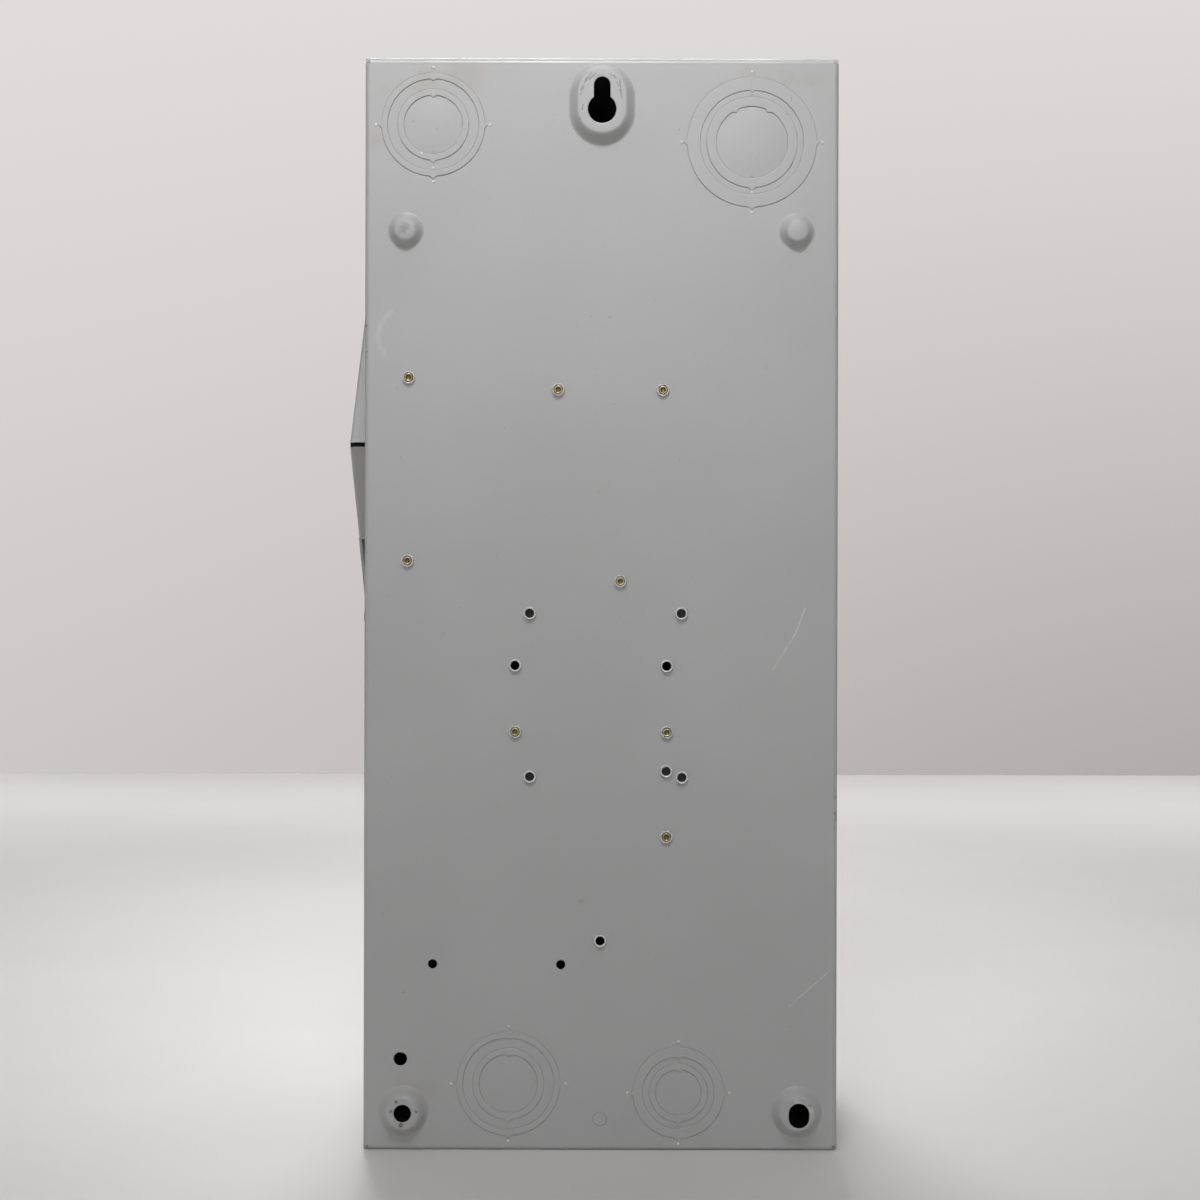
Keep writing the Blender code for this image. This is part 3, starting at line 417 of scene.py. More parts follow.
def fibre_tube(name):
    """Wound and waxed fibre: fine helical bands in kraft brown."""
    look = Look(name, 0.55)
    wound = look.noise(120, 2, stretch=(1, 1, 9))
    fibres = look.noise(900, 3, stretch=(1, 1, 0.25), offset=(3, 3, 3))
    colour = look.mix(look.span(wound, 0.35, 0.65), (0.46, 0.33, 0.18), (0.57, 0.43, 0.25))
    look.paint(look.mix(look.span(fibres, 0.45, 0.75, 0, 0.35), colour, (0.28, 0.19, 0.10)))
    look.bump(fibres, 0.03 * MM, 0.5)
    return look.material


def clear_sheet(name):
    """Thin clear polycarbonate, a little uneven."""
    look = Look(name, 0.12)
    look.paint(look.mix(look.span(look.noise(50, 2), 0.4, 0.6), (0.80, 0.86, 0.90), (0.86, 0.90, 0.92)))
    look.set("Alpha", 0.09)
    look.set("IOR", 1.58)
    look.bump(look.noise(700, 2), 0.01 * MM, 0.3)
    return look.material


LOOKS = {
    name: maker(name, *details)
    for name, maker, *details in (
        ("back_paint", powder_coat, back_marks),
        ("grey_paint", powder_coat),
        ("door_paint", powder_coat, door_marks),
        ("zinc_plate", plated, (0.50, 0.50, 0.49), (0.63, 0.63, 0.61), 0.34),
        # with painted shade in the hollows of the screws' tips
        ("yellow_zinc", plated, (0.52, 0.45, 0.26), (0.70, 0.65, 0.48), 0.42, hollow_painted_shade),
        ("dark_steel", moulded, (0.045, 0.048, 0.052), (0.10, 0.10, 0.10), 0.42, 700),
        ("red_grip", moulded, (0.42, 0.020, 0.015), (0.50, 0.07, 0.05), 0.38),
        ("black_moulding", moulded, (0.018, 0.018, 0.020), (0.060, 0.058, 0.055), 0.45),
        # near-black: the painted shade seen through the housing's slit
        ("seal_fibre", moulded, (0.006, 0.006, 0.007), (0.012, 0.012, 0.012), 0.9, 500),
        ("grey_moulding", moulded, (0.14, 0.14, 0.15), (0.24, 0.23, 0.22), 0.55),
        ("copper", plated, (0.72, 0.42, 0.26), (0.80, 0.55, 0.36), 0.30),
        ("aluminium", plated, (0.66, 0.66, 0.67), (0.78, 0.78, 0.79), 0.36),
        ("fuse_tube", fibre_tube),
        ("fuse_cap", plated, (0.66, 0.42, 0.20), (0.76, 0.55, 0.32), 0.28),
        ("clear_plastic", clear_sheet),
    )
}
SLOTS = {part["node"]: part["material_slot"] for part in frame["record"]["subparts"]}


# ---- mesh helpers
def new_object(name, mesh, look):
    made = bpy.data.objects.new(name, mesh)
    mesh.materials.clear()
    mesh.materials.append(LOOKS[look])
    return link(made)


def link(obj):
    bpy.context.scene.collection.objects.link(obj)
    return obj


def from_bmesh(name, bm, look):
    bmesh.ops.remove_doubles(bm, verts=bm.verts, dist=WELD)
    mesh = bpy.data.meshes.new(name)
    bm.to_mesh(mesh)
    bm.free()
    return new_object(name, mesh, look)


def settle(obj, sharp_degrees=40):
    """Applies the modifiers, and shades smooth with the sharp edges kept sharp and the flats flat."""
    bpy.context.view_layer.update()
    graph = bpy.context.evaluated_depsgraph_get()
    mesh = bpy.data.meshes.new_from_object(obj.evaluated_get(graph))
    obj.modifiers.clear()
    obj.data = mesh
    mesh.shade_smooth()
    mesh.set_sharp_from_angle(angle=math.radians(sharp_degrees))
    weighted = obj.modifiers.new("flat_faces", "WEIGHTED_NORMAL")
    weighted.keep_sharp = True
    weighted.weight = 80
    return obj


def stands_for(obj, body, slot, *nodes):
    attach(obj, body)
    if nodes:
        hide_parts(*nodes)
    return obj


def thicken(obj, thin_at=()):
    """Gives a sheet its thickness, and a quarter of it in the drawn collars at the (x, z) of thin_at."""
    shell = obj.modifiers.new("sheet", "SOLIDIFY")
    shell.thickness, shell.offset = SHEET, -1
    shell.use_even_offset = True
    if thin_at:
        group = obj.vertex_groups.new(name="sheet")
        shell.vertex_group = group.name
        for vert in obj.data.vertices:
            near = vert.co.y > BACK - 2 * SHEET and any(
                math.hypot(vert.co.x - x, vert.co.z - z) < COLLAR_RADIUS + 0.3 * MM for x, z in thin_at
            )
            group.add([vert.index], 0.25 if near else 1.0, "REPLACE")
    return obj


def bent_sheet(name, bm, look, within, thin_at=()):
    """A sheet metal piece from the outer faces of it, which turn away from a point within."""
    bmesh.ops.remove_doubles(bm, verts=bm.verts, dist=WELD)
    orient(bm, within)
    return settle(thicken(from_bmesh(name, bm, look), thin_at), 38)


def turns(count):
    return [TAU * i / count for i in range(count)]


# A loop is a list of (u, v, height) points. Loops that bound one another have the same number of points.
def circle(radius):
    return lambda angle: radius


def obround(radius, up, down=0.0):
    """The radius of an upright obround at each angle, about a centre between its two ends."""

    def at(angle):
        reach = up if math.sin(angle) > 0 else down
        c, s = abs(math.cos(angle)), abs(math.sin(angle))
        if c > 1e-9 and radius / c * s <= reach:
            return radius / c
        return reach * s + math.sqrt(max(0.0, radius**2 - (reach * c) ** 2))

    return at


def keyhole_outline(round_radius, slot_radius, slot_top):
    """A round hole with a slot going up from it, about a centre a little above the round hole's."""
    slot = obround(slot_radius, slot_top - KEYHOLE_RISE)

    def at(angle):
        c, s = math.cos(angle), math.sin(angle)
        hole = math.sqrt(round_radius**2 - (KEYHOLE_RISE * c) ** 2) - KEYHOLE_RISE * s
        return max(hole, slot(angle) if s > 0 else 0.0)

    return at


def loop(centre, outline, height, count, shift=0.0, grow=None):
    """One loop. count is how many even steps it has, or a list of its angles."""
    points = []
    for angle in count if isinstance(count, list) else turns(count):
        reach = outline(angle) + shift + (grow(angle) if grow else 0.0)
        up = height(angle) if callable(height) else height
        points.append((centre[0] + reach * math.cos(angle), centre[1] + reach * math.sin(angle), up))
    return points


# Something pressed or punched in a panel: its loops from the outside in, and whether it is closed
Feature = namedtuple("Feature", "loops closed")


def stepped(centre, profile, count, closed=False, outline=circle):
    """A feature from its profile of (radius, height) in mm."""
    return Feature([loop(centre, outline(r * MM), h * MM, count) for r, h in profile], closed)


def blend_loops(centre, outer, inner, height, count, steps=9):
    """Loops that rise smoothly from the outer outline at 0 to the inner one at height."""
    loops = []
    for i in range(steps + 1):
        share = i / steps
        eased = share * share * (3 - 2 * share)
        loops.append(
            loop(centre, lambda a, s=share: outer(a) * (1 - s) + inner(a) * s, height * eased, count)
        )
    return loops


def boss(x, z, base, top, height, hole=None, hole_centre=None):
    """A round boss pressed out of the sheet, closed with a slight crown or pierced by a hole."""
    count, crown = 64, 0.25 * MM
    loops = blend_loops((x, z), circle(base), circle(top), height, count)
    if hole is None:
        for k in (0.75, 0.45, 0.15):
            loops.append(loop((x, z), circle(top * k), height + crown * (1 - k * k), count))
        return Feature(loops, True)
    hole_centre = hole_centre or (x, z)
    loops.append(loop(hole_centre, hole, height, count, 0.35 * MM))
    loops.append(loop(hole_centre, hole, height - 0.15 * MM, count))
    return Feature(loops, False)


def tab_angles(tabs):
    """Even steps of 2 degrees round a circle, with more of them about each tab."""
    steps = (0.45, 0.9, 1.4, 1.9, 2.5, 3.2, 4.2)
    near = [t + d for t in tabs for d in (*(-step for step in steps), 0, *steps)]
    far = [f for f in range(0, 360, 2) if all(abs((f - t + 180) % 360 - 180) > 4.8 for t in tabs)]
    return [math.radians(angle) for angle in sorted(n % 360 for n in near + far)]


def from_tab(angle, tabs, radius):
    """The distance along a circle to the nearest tab."""
    return min(abs((angle - math.radians(t) + math.pi) % TAU - math.pi) for t in tabs) * radius


def knockout(x, z, diameters, disc_tabs, dome):
    """Rings sheared up and down in turn, with tie tabs at the cuts and four punched pips outside."""
    step, groove, half_cut, lip, width = mm(0.5, 0.16, 0.04, 0.36, 1.6)
    angles = tab_angles(sorted({0, 90, 180, 270, *disc_tabs}))
    pip_tabs, pip_circle = RING_TABS[0][0], diameters[0] / 2
    loops = []
    for out, rise in ((0.8, 0.0), (0.4, 0.36), (0.0, 0.5), (-0.4, 0.36), (-0.75, 0.0)):

        def pip(angle, rise=rise * MM):
            return rise * max(0.0, 1 - from_tab(angle, pip_tabs, pip_circle) / (0.8 * MM)) ** 0.5

        loops.append(loop((x, z), circle(pip_circle + PIP_OUT + out * MM), pip, angles))
    level = 0.0
    for diameter, (tabs, depth) in zip(diameters, (*RING_TABS, (disc_tabs, DISC_TAB_DEPTH))):
        radius = diameter / 2
        inner_level = step - level

        def away(angle, tabs=tabs, radius=radius):
            return from_tab(angle, tabs, radius) / width

        def notch(angle, away=away, depth=depth):
            return depth * max(0.0, 1 - away(angle))

        def sunk(start, depth, away=away):
            return lambda angle: start - depth * min(1.0, max(0.0, away(angle) - 0.15))

        bottom = sunk(min(level, inner_level), groove)
        for shift, height in (
            (lip, level), (lip / 2, sunk(level, groove * 0.6)), (half_cut, bottom),
            (-half_cut, bottom), (-lip / 2, sunk(inner_level, groove * 0.6)), (-lip, inner_level),
        ):
            loops.append(loop((x, z), circle(radius), height, angles, shift, notch))
        level = inner_level
    flat = radius + depth - 2 * lip
    for share in (1.0, 0.94, 0.85, 0.7, 0.5, 0.3, 0.12):
        crowned = level + dome * (1 - share * share) ** 0.8
        loops.append(loop((x, z), circle(flat * share), crowned, angles))
    return Feature(loops, True)


def extruded_hole(x, z):
    """A hole drawn outward for a thread: a short collar with a ragged rim."""
    phase = random.random() * TAU
    outer, bore, top = COLLAR_RADIUS, COLLAR_BORE, COLLAR_HEIGHT

    def ragged(angle):
        return 0.09 * MM * math.cos(9 * angle + phase) + 0.04 * MM * math.cos(5 * angle + 2 * phase)

    # radius, height, and whether that radius or that height is ragged
    profile = (
        (outer + 0.5 * MM, 0.0, ""), (outer + 0.22 * MM, 0.06 * MM, ""), (outer + 0.06 * MM, 0.28 * MM, ""),
        (outer, top - 0.45 * MM, "radius"), (outer - 0.09 * MM, top - 0.14 * MM, "radius"),
        (outer - 0.24 * MM, top, "height"), (bore + 0.28 * MM, top - 0.06 * MM, "height"),
        (bore + 0.07 * MM, top - 0.30 * MM, "radius"), (bore, top - 0.6 * MM, ""), (bore, -SHEET, ""),
    )
    loops = []
    for radius, level, rough in profile:

        def height(angle, level=level):
            return level + ragged(angle)

        up, grow = (height, None) if rough == "height" else (level, ragged if rough else None)
        loops.append(loop((x, z), circle(radius), up, 32, grow=grow))
    return Feature(loops, False)


def panel(bm, to_world, outline, features):
    """A flat sheet face with its features. to_world turns (u, v, height) into a point of the row frame."""
    points = [Vector(p) for p in outline]
    edges = [(i, (i + 1) % len(outline)) for i in range(len(outline))]
    for feature in features:
        first = len(points)
        ring = feature.loops[0]
        points += [Vector((u, v)) for u, v, _ in ring]
        edges += [(first + i, first + (i + 1) % len(ring)) for i in range(len(ring))]
    flat, _, triangles, _, _, _ = delaunay_2d_cdt(points, edges, [], 1, 1e-7)
    verts = [bm.verts.new(to_world(p.x, p.y, 0.0)) for p in flat]
    for triangle in triangles:
        centre = sum((flat[i] for i in triangle), Vector((0, 0))) / 3
        if not any(inside(centre, feature.loops[0]) for feature in features):
            bm.faces.new([verts[i] for i in triangle])
    for feature in features:
        rows = [[bm.verts.new(to_world(*p)) for p in ring] for ring in feature.loops]
        count = len(rows[0])
        for outer, inner in zip(rows, rows[1:]):
            for i in range(count):
                k = (i + 1) % count
                bm.faces.new((outer[i], outer[k], inner[k], inner[i]))
        if feature.closed:
            bm.faces.new(rows[-1])


def inside(point, ring):
    """Whether a point is within a closed loop, by counting the sides to its right."""
    crossings = 0
    for (u1, v1, _), (u2, v2, _) in zip(ring, ring[1:] + ring[:1]):
        if (v1 > point.y) != (v2 > point.y) and point.x < (u2 - u1) * (point.y - v1) / (v2 - v1) + u1:
            crossings += 1
    return crossings % 2 == 1


def quad_strip(bm, rows):
    """Faces between rows of points, each row a list of points in the row frame."""
    made = [[bm.verts.new(p) for p in row] for row in rows]
    for first, second in zip(made, made[1:]):
        for i in range(len(first) - 1):
            bm.faces.new((first[i], first[i + 1], second[i + 1], second[i]))


def arc(centre, start, end, radius, steps=6):
    """(u, v) points of an arc about centre, from angle start to end in degrees."""
    points = []
    for i in range(steps + 1):
        angle = math.radians(start + (end - start) * i / steps)
        points.append((centre[0] + radius * math.cos(angle), centre[1] + radius * math.sin(angle)))
    return points


# One side of a pan: its outward direction, the direction along its bend, its place, its span and its features
Wall = namedtuple("Wall", "outward along distance low high features", defaults=((),))


def pan(bm, face_y, rim_y, walls, bend, lip=0.0):
    """The bends, walls and inward lips round a flat face at face_y, which is part of another panel."""
    seam = 0.2 * MM
    facing = 1 if face_y > rim_y else -1
    y_axis = Vector((0, facing, 0))
    for wall in walls:

        def place(out, y, along, wall=wall):
            return wall.outward * out + y_axis * y + wall.along * along

        def to_world(along, y, height, wall=wall, place=place):
            return place(wall.distance + height, y, along)

        top = facing * face_y
        edge_low, edge_high = wall.low + bend, wall.high - bend
        profile = arc((wall.distance - bend, top - bend), 90, 0, bend)
        quad_strip(bm, [[place(u, v, edge_low), place(u, v, edge_high)] for u, v in profile])
        end_trim = 0.0 if wall.outward.x else SHEET + seam
        low, high = wall.low + end_trim, wall.high - end_trim
        start, end = wall.low + lip * 0.25, wall.high - lip * 0.25
        bottom = facing * rim_y + (bend if lip else 0.0)
        outline = [(along, top - bend) for along in (low, edge_low, edge_high, high)] + [(high, bottom)]
        if lip:
            outline += [(end, bottom), (start, bottom)]
        outline.append((low, bottom))
        panel(bm, to_world, outline, wall.features)
        if lip:
            profile = arc((wall.distance - bend, bottom), 0, -90, bend)
            rows = [[place(u, v, start), place(u, v, end)] for u, v in profile]
            inner = wall.distance - SHEET - lip
            rows.append([place(inner, bottom - bend, start + lip), place(inner, bottom - bend, end - lip)])
            quad_strip(bm, rows)


def rectangle(low_u, low_v, high_u, high_v):
    return [(low_u, low_v), (high_u, low_v), (high_u, high_v), (low_u, high_v)]


def four_walls(low_x, low_z, high_x, high_z, right=(), ends=()):
    """The right, left, top and bottom walls of a pan, with the features of the right one and of the ends."""
    across, up = Vector((1, 0, 0)), Vector((0, 0, 1))
    return [
        Wall(across, up, high_x, low_z, high_z, right),
        Wall(-across, up, -low_x, low_z, high_z),
        Wall(up, across, high_z, low_x, high_x, ends),
        Wall(-up, across, -low_z, low_x, high_x, ends),
    ]


def orient(bm, away_from):
    """Turns every face so that its normal points away from a point inside the shell."""
    bmesh.ops.recalc_face_normals(bm, faces=bm.faces)
    largest = max(bm.faces, key=lambda face: face.calc_area())
    if largest.normal.dot(largest.calc_center_median() - away_from) < 0:
        bmesh.ops.reverse_faces(bm, faces=bm.faces)


# ---- the enclosure
def back_features():
    features = [
        knockout(x, z, [TRADE[d] for d in sizes], tabs, dome) for x, z, sizes, tabs, dome in BACK_KNOCKOUTS
    ]
    for x, z in DIMPLES:
        features.append(boss(x, z, *mm(8.9, 4.4, 5.2)))
    features.append(boss(*LEFT_FOOT, *mm(12.6, 7.2), BOSS_HEIGHT, circle(4.2 * MM)))
    slot = obround(*mm(4.95, 1, 1))
    features.append(boss(*RIGHT_FOOT, *mm(12.6, 7.6), BOSS_HEIGHT, slot, RIGHT_SLOT))
    key_centre = (KEYHOLE[0], KEYHOLE[1] + KEYHOLE_RISE)
    count = 128
    base, top = obround(*mm(16.2, 4.4, 3.6)), obround(*mm(11.2, 5.2, 2.4))
    loops = blend_loops(key_centre, base, top, BOSS_HEIGHT, count)
    hole = keyhole_outline(*mm(6.9, 4, 11.5))
    loops.append(loop(key_centre, hole, BOSS_HEIGHT, count, 0.4 * MM))
    loops.append(loop(key_centre, hole, BOSS_HEIGHT - 0.2 * MM, count))
    features.append(Feature(loops, False))
    features += [extruded_hole(x, z) for x, z in COLLARS]
    for place, radius in PLAIN_HOLES:
        features.append(stepped(place, ((radius + 0.5, 0), (radius + 0.2, 0), (radius, -0.25)), 32))
    profile = ((3.95, 0), (3.5, 0), (3.35, -0.2), (3.15, 0.18), (1.34, 0.2))
    features.append(stepped(PIN_KNOCKOUT, profile, 32, True))
    return features


def end_features():
    """The knockouts of an end wall, as (x, y) on that wall, level so that the box stands flat."""
    pairs = ((*mm(-58, -5), ("2", "1-1/2")), (*mm(58, 0), ("1-1/2", "1-1/4")))
    return [recessed_knockout(x, y, [TRADE[d] for d in sizes]) for x, y, sizes in pairs]


def recessed_knockout(u, v, diameters):
    """A knockout whose rings are sheared inward, so that nothing stands proud of the wall."""
    count, step, groove = 96, 0.45 * MM, 0.2 * MM
    loops = [loop((u, v), circle(diameters[0] / 2 + 2 * MM), 0.0, count)]
    level = 0.0
    for diameter in diameters:
        inner = -step - level
        bottom = min(level, inner) - groove
        for shift, height in ((0.25, level), (0.06, bottom), (-0.06, bottom), (-0.25, inner)):
            loops.append(loop((u, v), circle(diameter / 2), height, count, shift * MM))
        level = inner
    loops += [loop((u, v), circle(diameters[-1] / 2 * k), level, count) for k in (0.7, 0.35)]
    return Feature(loops, True)


def enclosure():
    """The box: back, four walls and the lip round its open front, in one bent sheet."""
    bm = bmesh.new()
    outline = rectangle(-SIDE + BEND, BEND, SIDE - BEND, HEIGHT - BEND)
    panel(bm, lambda u, v, h: Vector((u, BACK + h, v)), outline, back_features())
    shaft_hole = stepped((HANDLE_Z, centre_of("handle_shaft")[1]), ((8.6, 0), (8.0, 0)), 48)
    walls = four_walls(-SIDE, 0.0, SIDE, HEIGHT, [shaft_hole], end_features())
    pan(bm, BACK, FRONT, walls, BEND, LIP)
    shell = bent_sheet("enclosure_shell", bm, "back_paint", Vector((0, 0, HEIGHT / 2)), COLLARS)
    stands_for(shell, "enclosure", "grey_paint", "enclosure_box")


# ---- handle housing and door
# the embossed marks for off and on
RING_MARK = ((5.2, 0), (4.8, 0), (4.4, 0.35), (3.4, 0.35), (3.0, 0), (1.5, 0))
BAR_MARK = ((1.4, 0), (1.1, 0), (0.7, 0.35), (0.3, 0.35))


def housing():
    """The handle housing: an outer plate with two cheeks bent from it, slit apart at the apex."""
    bm = bmesh.new()
    radius, slit, root2 = 2.2 * MM, 2.5 * MM, math.sqrt(2)
    full = (APEX_Y - FRONT) * root2
    sides = []
    for up in (1, -1):
        outward, along = Vector((0, 1, up)).normalized(), Vector((0, -1, up)).normalized()

        def point(s, offset, x, outward=outward, along=along):
            flat = Vector((0, APEX_Y, HANDLE_Z)) + along * s + outward * offset
            return Vector((x, flat.y, flat.z))

        def row(offset, x, point=point, up=up):
            end = full + offset if up > 0 else LOWER_CHEEK
            return [point(slit / 2 * root2 - offset, offset, x), point(end, offset, x)]

        bend = [row(v - radius, u + HOUSING_TOP - radius) for u, v in arc((0, 0), 90, 0, radius)]
        quad_strip(bm, [row(0.0, housing_low.x), row(0.0, housing_low.x + 1.6 * MM), *bend])
        rim = row(-radius, HOUSING_TOP)
        if up < 0:
            rim += [point(LOWER_CHEEK, 0.0, HOUSING_TOP), point(full, 0.0, HOUSING_TOP)]
        sides.append([(p.y, p.z) for p in rim])
    notch = [(APEX_Y - 4.5 * MM, HANDLE_Z + side * 1.05 * MM) for side in (-1, 1)]
    outline = sides[0] + sides[1][::-1] + notch
    lock_at = (FRONT + 12 * MM, HANDLE_Z - 40 * MM)
    lock = stepped(lock_at, ((5.3, 0), (4.8, 0)), 32)
    off_mark = stepped((-42 * MM, HANDLE_Z - 6 * MM), RING_MARK, 40, True)
    on_mark = stepped((-42 * MM, HANDLE_Z + 22 * MM), BAR_MARK, 48, True, lambda r: obround(r, *mm(3.6, 3.6)))
    panel(bm, lambda u, v, h: Vector((HOUSING_TOP + h, u, v)), outline, [lock, off_mark, on_mark])
    within = Vector((SIDE, -30 * MM, HANDLE_Z))
    made = bent_sheet("handle_housing_sheet", bm, "grey_paint", within)
    # the slit's edges are square to the wall, though thickening leaves them square to the cheeks
    for vert in made.data.vertices:
        off = vert.co.z - HANDLE_Z
        short = slit / 2 - (0.35 * MM if off < 0 else 0.0) - abs(off)
        if short > 0 and vert.co.y > APEX_Y - 3.6 * MM and abs(off) > 0.1 * MM:
            vert.co += Vector((0, -short, math.copysign(short, off)))
    stands_for(made, "enclosure", "grey_paint", "handle_housing")


def slit_shade_strip():
    """A bent near-black strip behind the housing's slit, with a tongue in the plate's notch: a dark piece
    that stands for the shade in the slit.
    """
    bm = bmesh.new()
    nose, leg, thick = APEX_Y - 2.6 * MM, 4.0 * MM, 0.9 * MM
    start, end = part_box("shaft_bushing")[1].x + 0.4 * MM, HOUSING_TOP - SHEET - 0.2 * MM
    half = [(nose, 0.0), (nose - leg + 0.4 * MM, leg - 0.4 * MM), (nose - leg, leg)]
    back = [(nose - leg - 0.2 * MM, leg - 0.6 * MM), (nose - thick, 0.0)]
    section = half + back + [(y, -z) for y, z in reversed(half[1:] + back[:1])]
    middle = Vector((0, nose - leg / 2, HANDLE_Z))
    rows = []
    for x, size in ((start, 0.96), (start + 0.3 * MM, 1.0), (end - 0.3 * MM, 1.0), (end, 0.96)):
        ring = [(Vector((0, y, HANDLE_Z + z)) - middle) * size for y, z in section]
        rows.append([bm.verts.new(Vector((x, 0, 0)) + middle + p) for p in ring])
    prism(bm, rows)
    tongue = [(nose + y * MM, z * MM) for y, z in ((-0.3, 0.6), (-0.1, 0.9), (-1.6, 0.9), (-1.8, 0.6))]
    section = tongue + [(y, -z) for y, z in reversed(tongue)]
    places = (end - 0.6 * MM, HOUSING_TOP - 0.5 * MM, HOUSING_TOP - 0.25 * MM)
    prism(bm, [[bm.verts.new((x, y, HANDLE_Z + z)) for y, z in section] for x in places])
    closed_piece("housing_dust_seal", bm, "seal_fibre", "enclosure", "black_moulding", sharp=30)


def rectangle_loop(centre, half_u, half_v, corner, height):
    points = []
    for quarter, (su, sv) in enumerate(((1, 1), (-1, 1), (-1, -1), (1, -1))):
        middle = (centre[0] + su * (half_u - corner), centre[1] + sv * (half_v - corner))
        points += [(u, v, height) for u, v in arc(middle, quarter * 90, quarter * 90 + 90, corner, 8)]
    return points


def door():
    """The hinged cover: a shallow bent pan with a raised field and a hole for the latch."""
    bm = bmesh.new()
    bend, corner = 2.0 * MM, 9 * MM
    low, high = door_low, door_high
    field_u, field_v = mm(-86, 66), mm(60, 467)
    centre = (sum(field_u) / 2, sum(field_v) / 2)
    half_u, half_v = (field_u[1] - field_u[0]) / 2, (field_v[1] - field_v[0]) / 2
    loops = []
    for inset, rise in ((0.0, 0.0), (0.6, 0.06), (1.2, 0.35), (1.9, 0.75), (2.5, 0.94), (3.2, 1.0)):
        d = inset * MM
        loops.append(rectangle_loop(centre, half_u - d, half_v - d, corner - d, DOOR_FIELD_RISE * rise))
    x, _, z = centre_of("latch_knob")
    hole = stepped((x, z), ((5.9, 0), (5.4, 0)), 40)
    outline = rectangle(low.x + bend, low.z + bend, high.x - bend, high.z - bend)
    panel(bm, lambda u, v, h: Vector((u, DOOR_FACE - h, v)), outline, [Feature(loops, True), hole])
    pan(bm, DOOR_FACE, DOOR_REAR, four_walls(low.x, low.z, high.x, high.z), bend)
    made = bent_sheet("door_sheet", bm, "door_paint", Vector((0, DOOR_REAR + 50 * MM, HEIGHT / 2)))
    stands_for(made, "door", "grey_paint", "door_pan")


# ---- small parts
def refine(node, width):
    """A CAD solid with its edges broken to a small radius, shown in its place."""
    source, slot = frame["nodes"][node], SLOTS[node]
    bm = bmesh.new()
    bm.from_mesh(source.data)
    bmesh.ops.remove_doubles(bm, verts=bm.verts, dist=5e-6)
    bmesh.ops.dissolve_limit(
        bm, angle_limit=math.radians(1), verts=bm.verts, edges=bm.edges, use_dissolve_boundaries=False
    )
    made = from_bmesh(node + "_finished", bm, slot)
    bevel = made.modifiers.new("edges", "BEVEL")
    bevel.width, bevel.segments, bevel.limit_method = width, 2, "ANGLE"
    bevel.angle_limit = math.radians(32)
    bevel.use_clamp_overlap = True
    settle(made, 35)
    stands_for(made, source["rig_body"], slot, node)


def join_rows(bm, rows):
    """Faces between rings of vertices. A ring of one vertex closes the end."""
    for first, second in zip(rows, rows[1:]):
        count = max(len(first), len(second))
        for i in range(count):
            k = (i + 1) % count
            corners = [row[n % len(row)] for row, n in ((first, i), (first, k), (second, k), (second, i))]
            corners = [v for n, v in enumerate(corners) if v not in corners[:n]]
            if len(corners) > 2:
                bm.faces.new(corners)


def prism(bm, rows):
    join_rows(bm, rows)
    bm.faces.new(rows[0])
    bm.faces.new(rows[-1])


def turned(bm, profile, origin, axis, count):
    """A closed solid of revolution: profile is (radius, height) from one end of the axis to the other.

    A radius may be a function of the share of the turn, as on a thread.
    """
    turn = Vector(axis).to_track_quat("Z", "Y").to_matrix()
    rows = []
    for radius, height in profile:
        ring = []
        for i, angle in enumerate(turns(count)[:1 if radius == 0 else None]):
            reach = radius(i / count) if callable(radius) else radius
            place = Vector((reach * math.cos(angle), reach * math.sin(angle), height))
            ring.append(bm.verts.new(Vector(origin) + turn @ place))
        rows.append(ring)
    join_rows(bm, rows)


def tube(bm, path, radius, sides):
    """A round wire along a path, closed at both ends."""
    rows = []
    normal = None
    for i, point in enumerate(path):
        ahead = (path[min(i + 1, len(path) - 1)] - path[max(i - 1, 0)]).normalized()
        normal = (normal - ahead * normal.dot(ahead) if normal else ahead.orthogonal()).normalized()
        cross = ahead.cross(normal)
        spokes = [normal * math.cos(angle) + cross * math.sin(angle) for angle in turns(sides)]
        rows.append([bm.verts.new(point + spoke * radius) for spoke in spokes])
    join_rows(bm, [[bm.verts.new(path[0])], *rows, [bm.verts.new(path[-1])]])


def closed_piece(name, bm, look, body, slot, *nodes, sharp=35):
    bmesh.ops.recalc_face_normals(bm, faces=bm.faces)
    made = settle(from_bmesh(name, bm, look), sharp)
    return stands_for(made, body, slot, *nodes)


# radius and height in mm: the head from its recess to the shank, then the tip from the thread to its hollow
SCREW_HEAD = (
    (0, -1.6), (0.9, -1.6), (0.95, -2.55), (2.4, -2.5), (3.3, -2.1),
    (3.8, -1.3), (3.9, -0.6), (3.9, -0.1), (3.8, 0.0), (1.9, 0.0),
)
SCREW_TIP = (
    (2.02, -0.5), (1.92, -0.16), (1.74, 0.0), (1.46, -0.03), (1.24, -0.3), (1.02, -0.75), (0.6, -0.95),
    (0, -1.0),
)


def machine_screw(node, x, z):
    """A pan head screw with a cut thread and a cupped tip, which shows in the back's drawn hole."""
    low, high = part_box(node)
    head_y = low.y + 2.6 * MM
    tip = high.y - head_y
    pitch, depth = 0.8 * MM, 0.22 * MM
    profile = [mm(*pair) for pair in SCREW_HEAD]
    height = max(1.0 * MM, tip - 7 * MM)
    profile.append((1.9 * MM, height))
    height += 0.1 * MM
    while height < tip - 0.75 * MM:

        def thread(share, height=height):
            return 2.08 * MM - depth * (1 - abs((height / pitch - share) % 1.0 * 2 - 1))

        profile.append((thread, height))
        height += pitch / 5
    profile += [(radius * MM, tip + height * MM) for radius, height in SCREW_TIP]
    bm = bmesh.new()
    turned(bm, profile, (x, head_y, z), (0, 1, 0), 24)
    closed_piece(node + "_finished", bm, "yellow_zinc", "enclosure", "yellow_zinc", node, sharp=50)


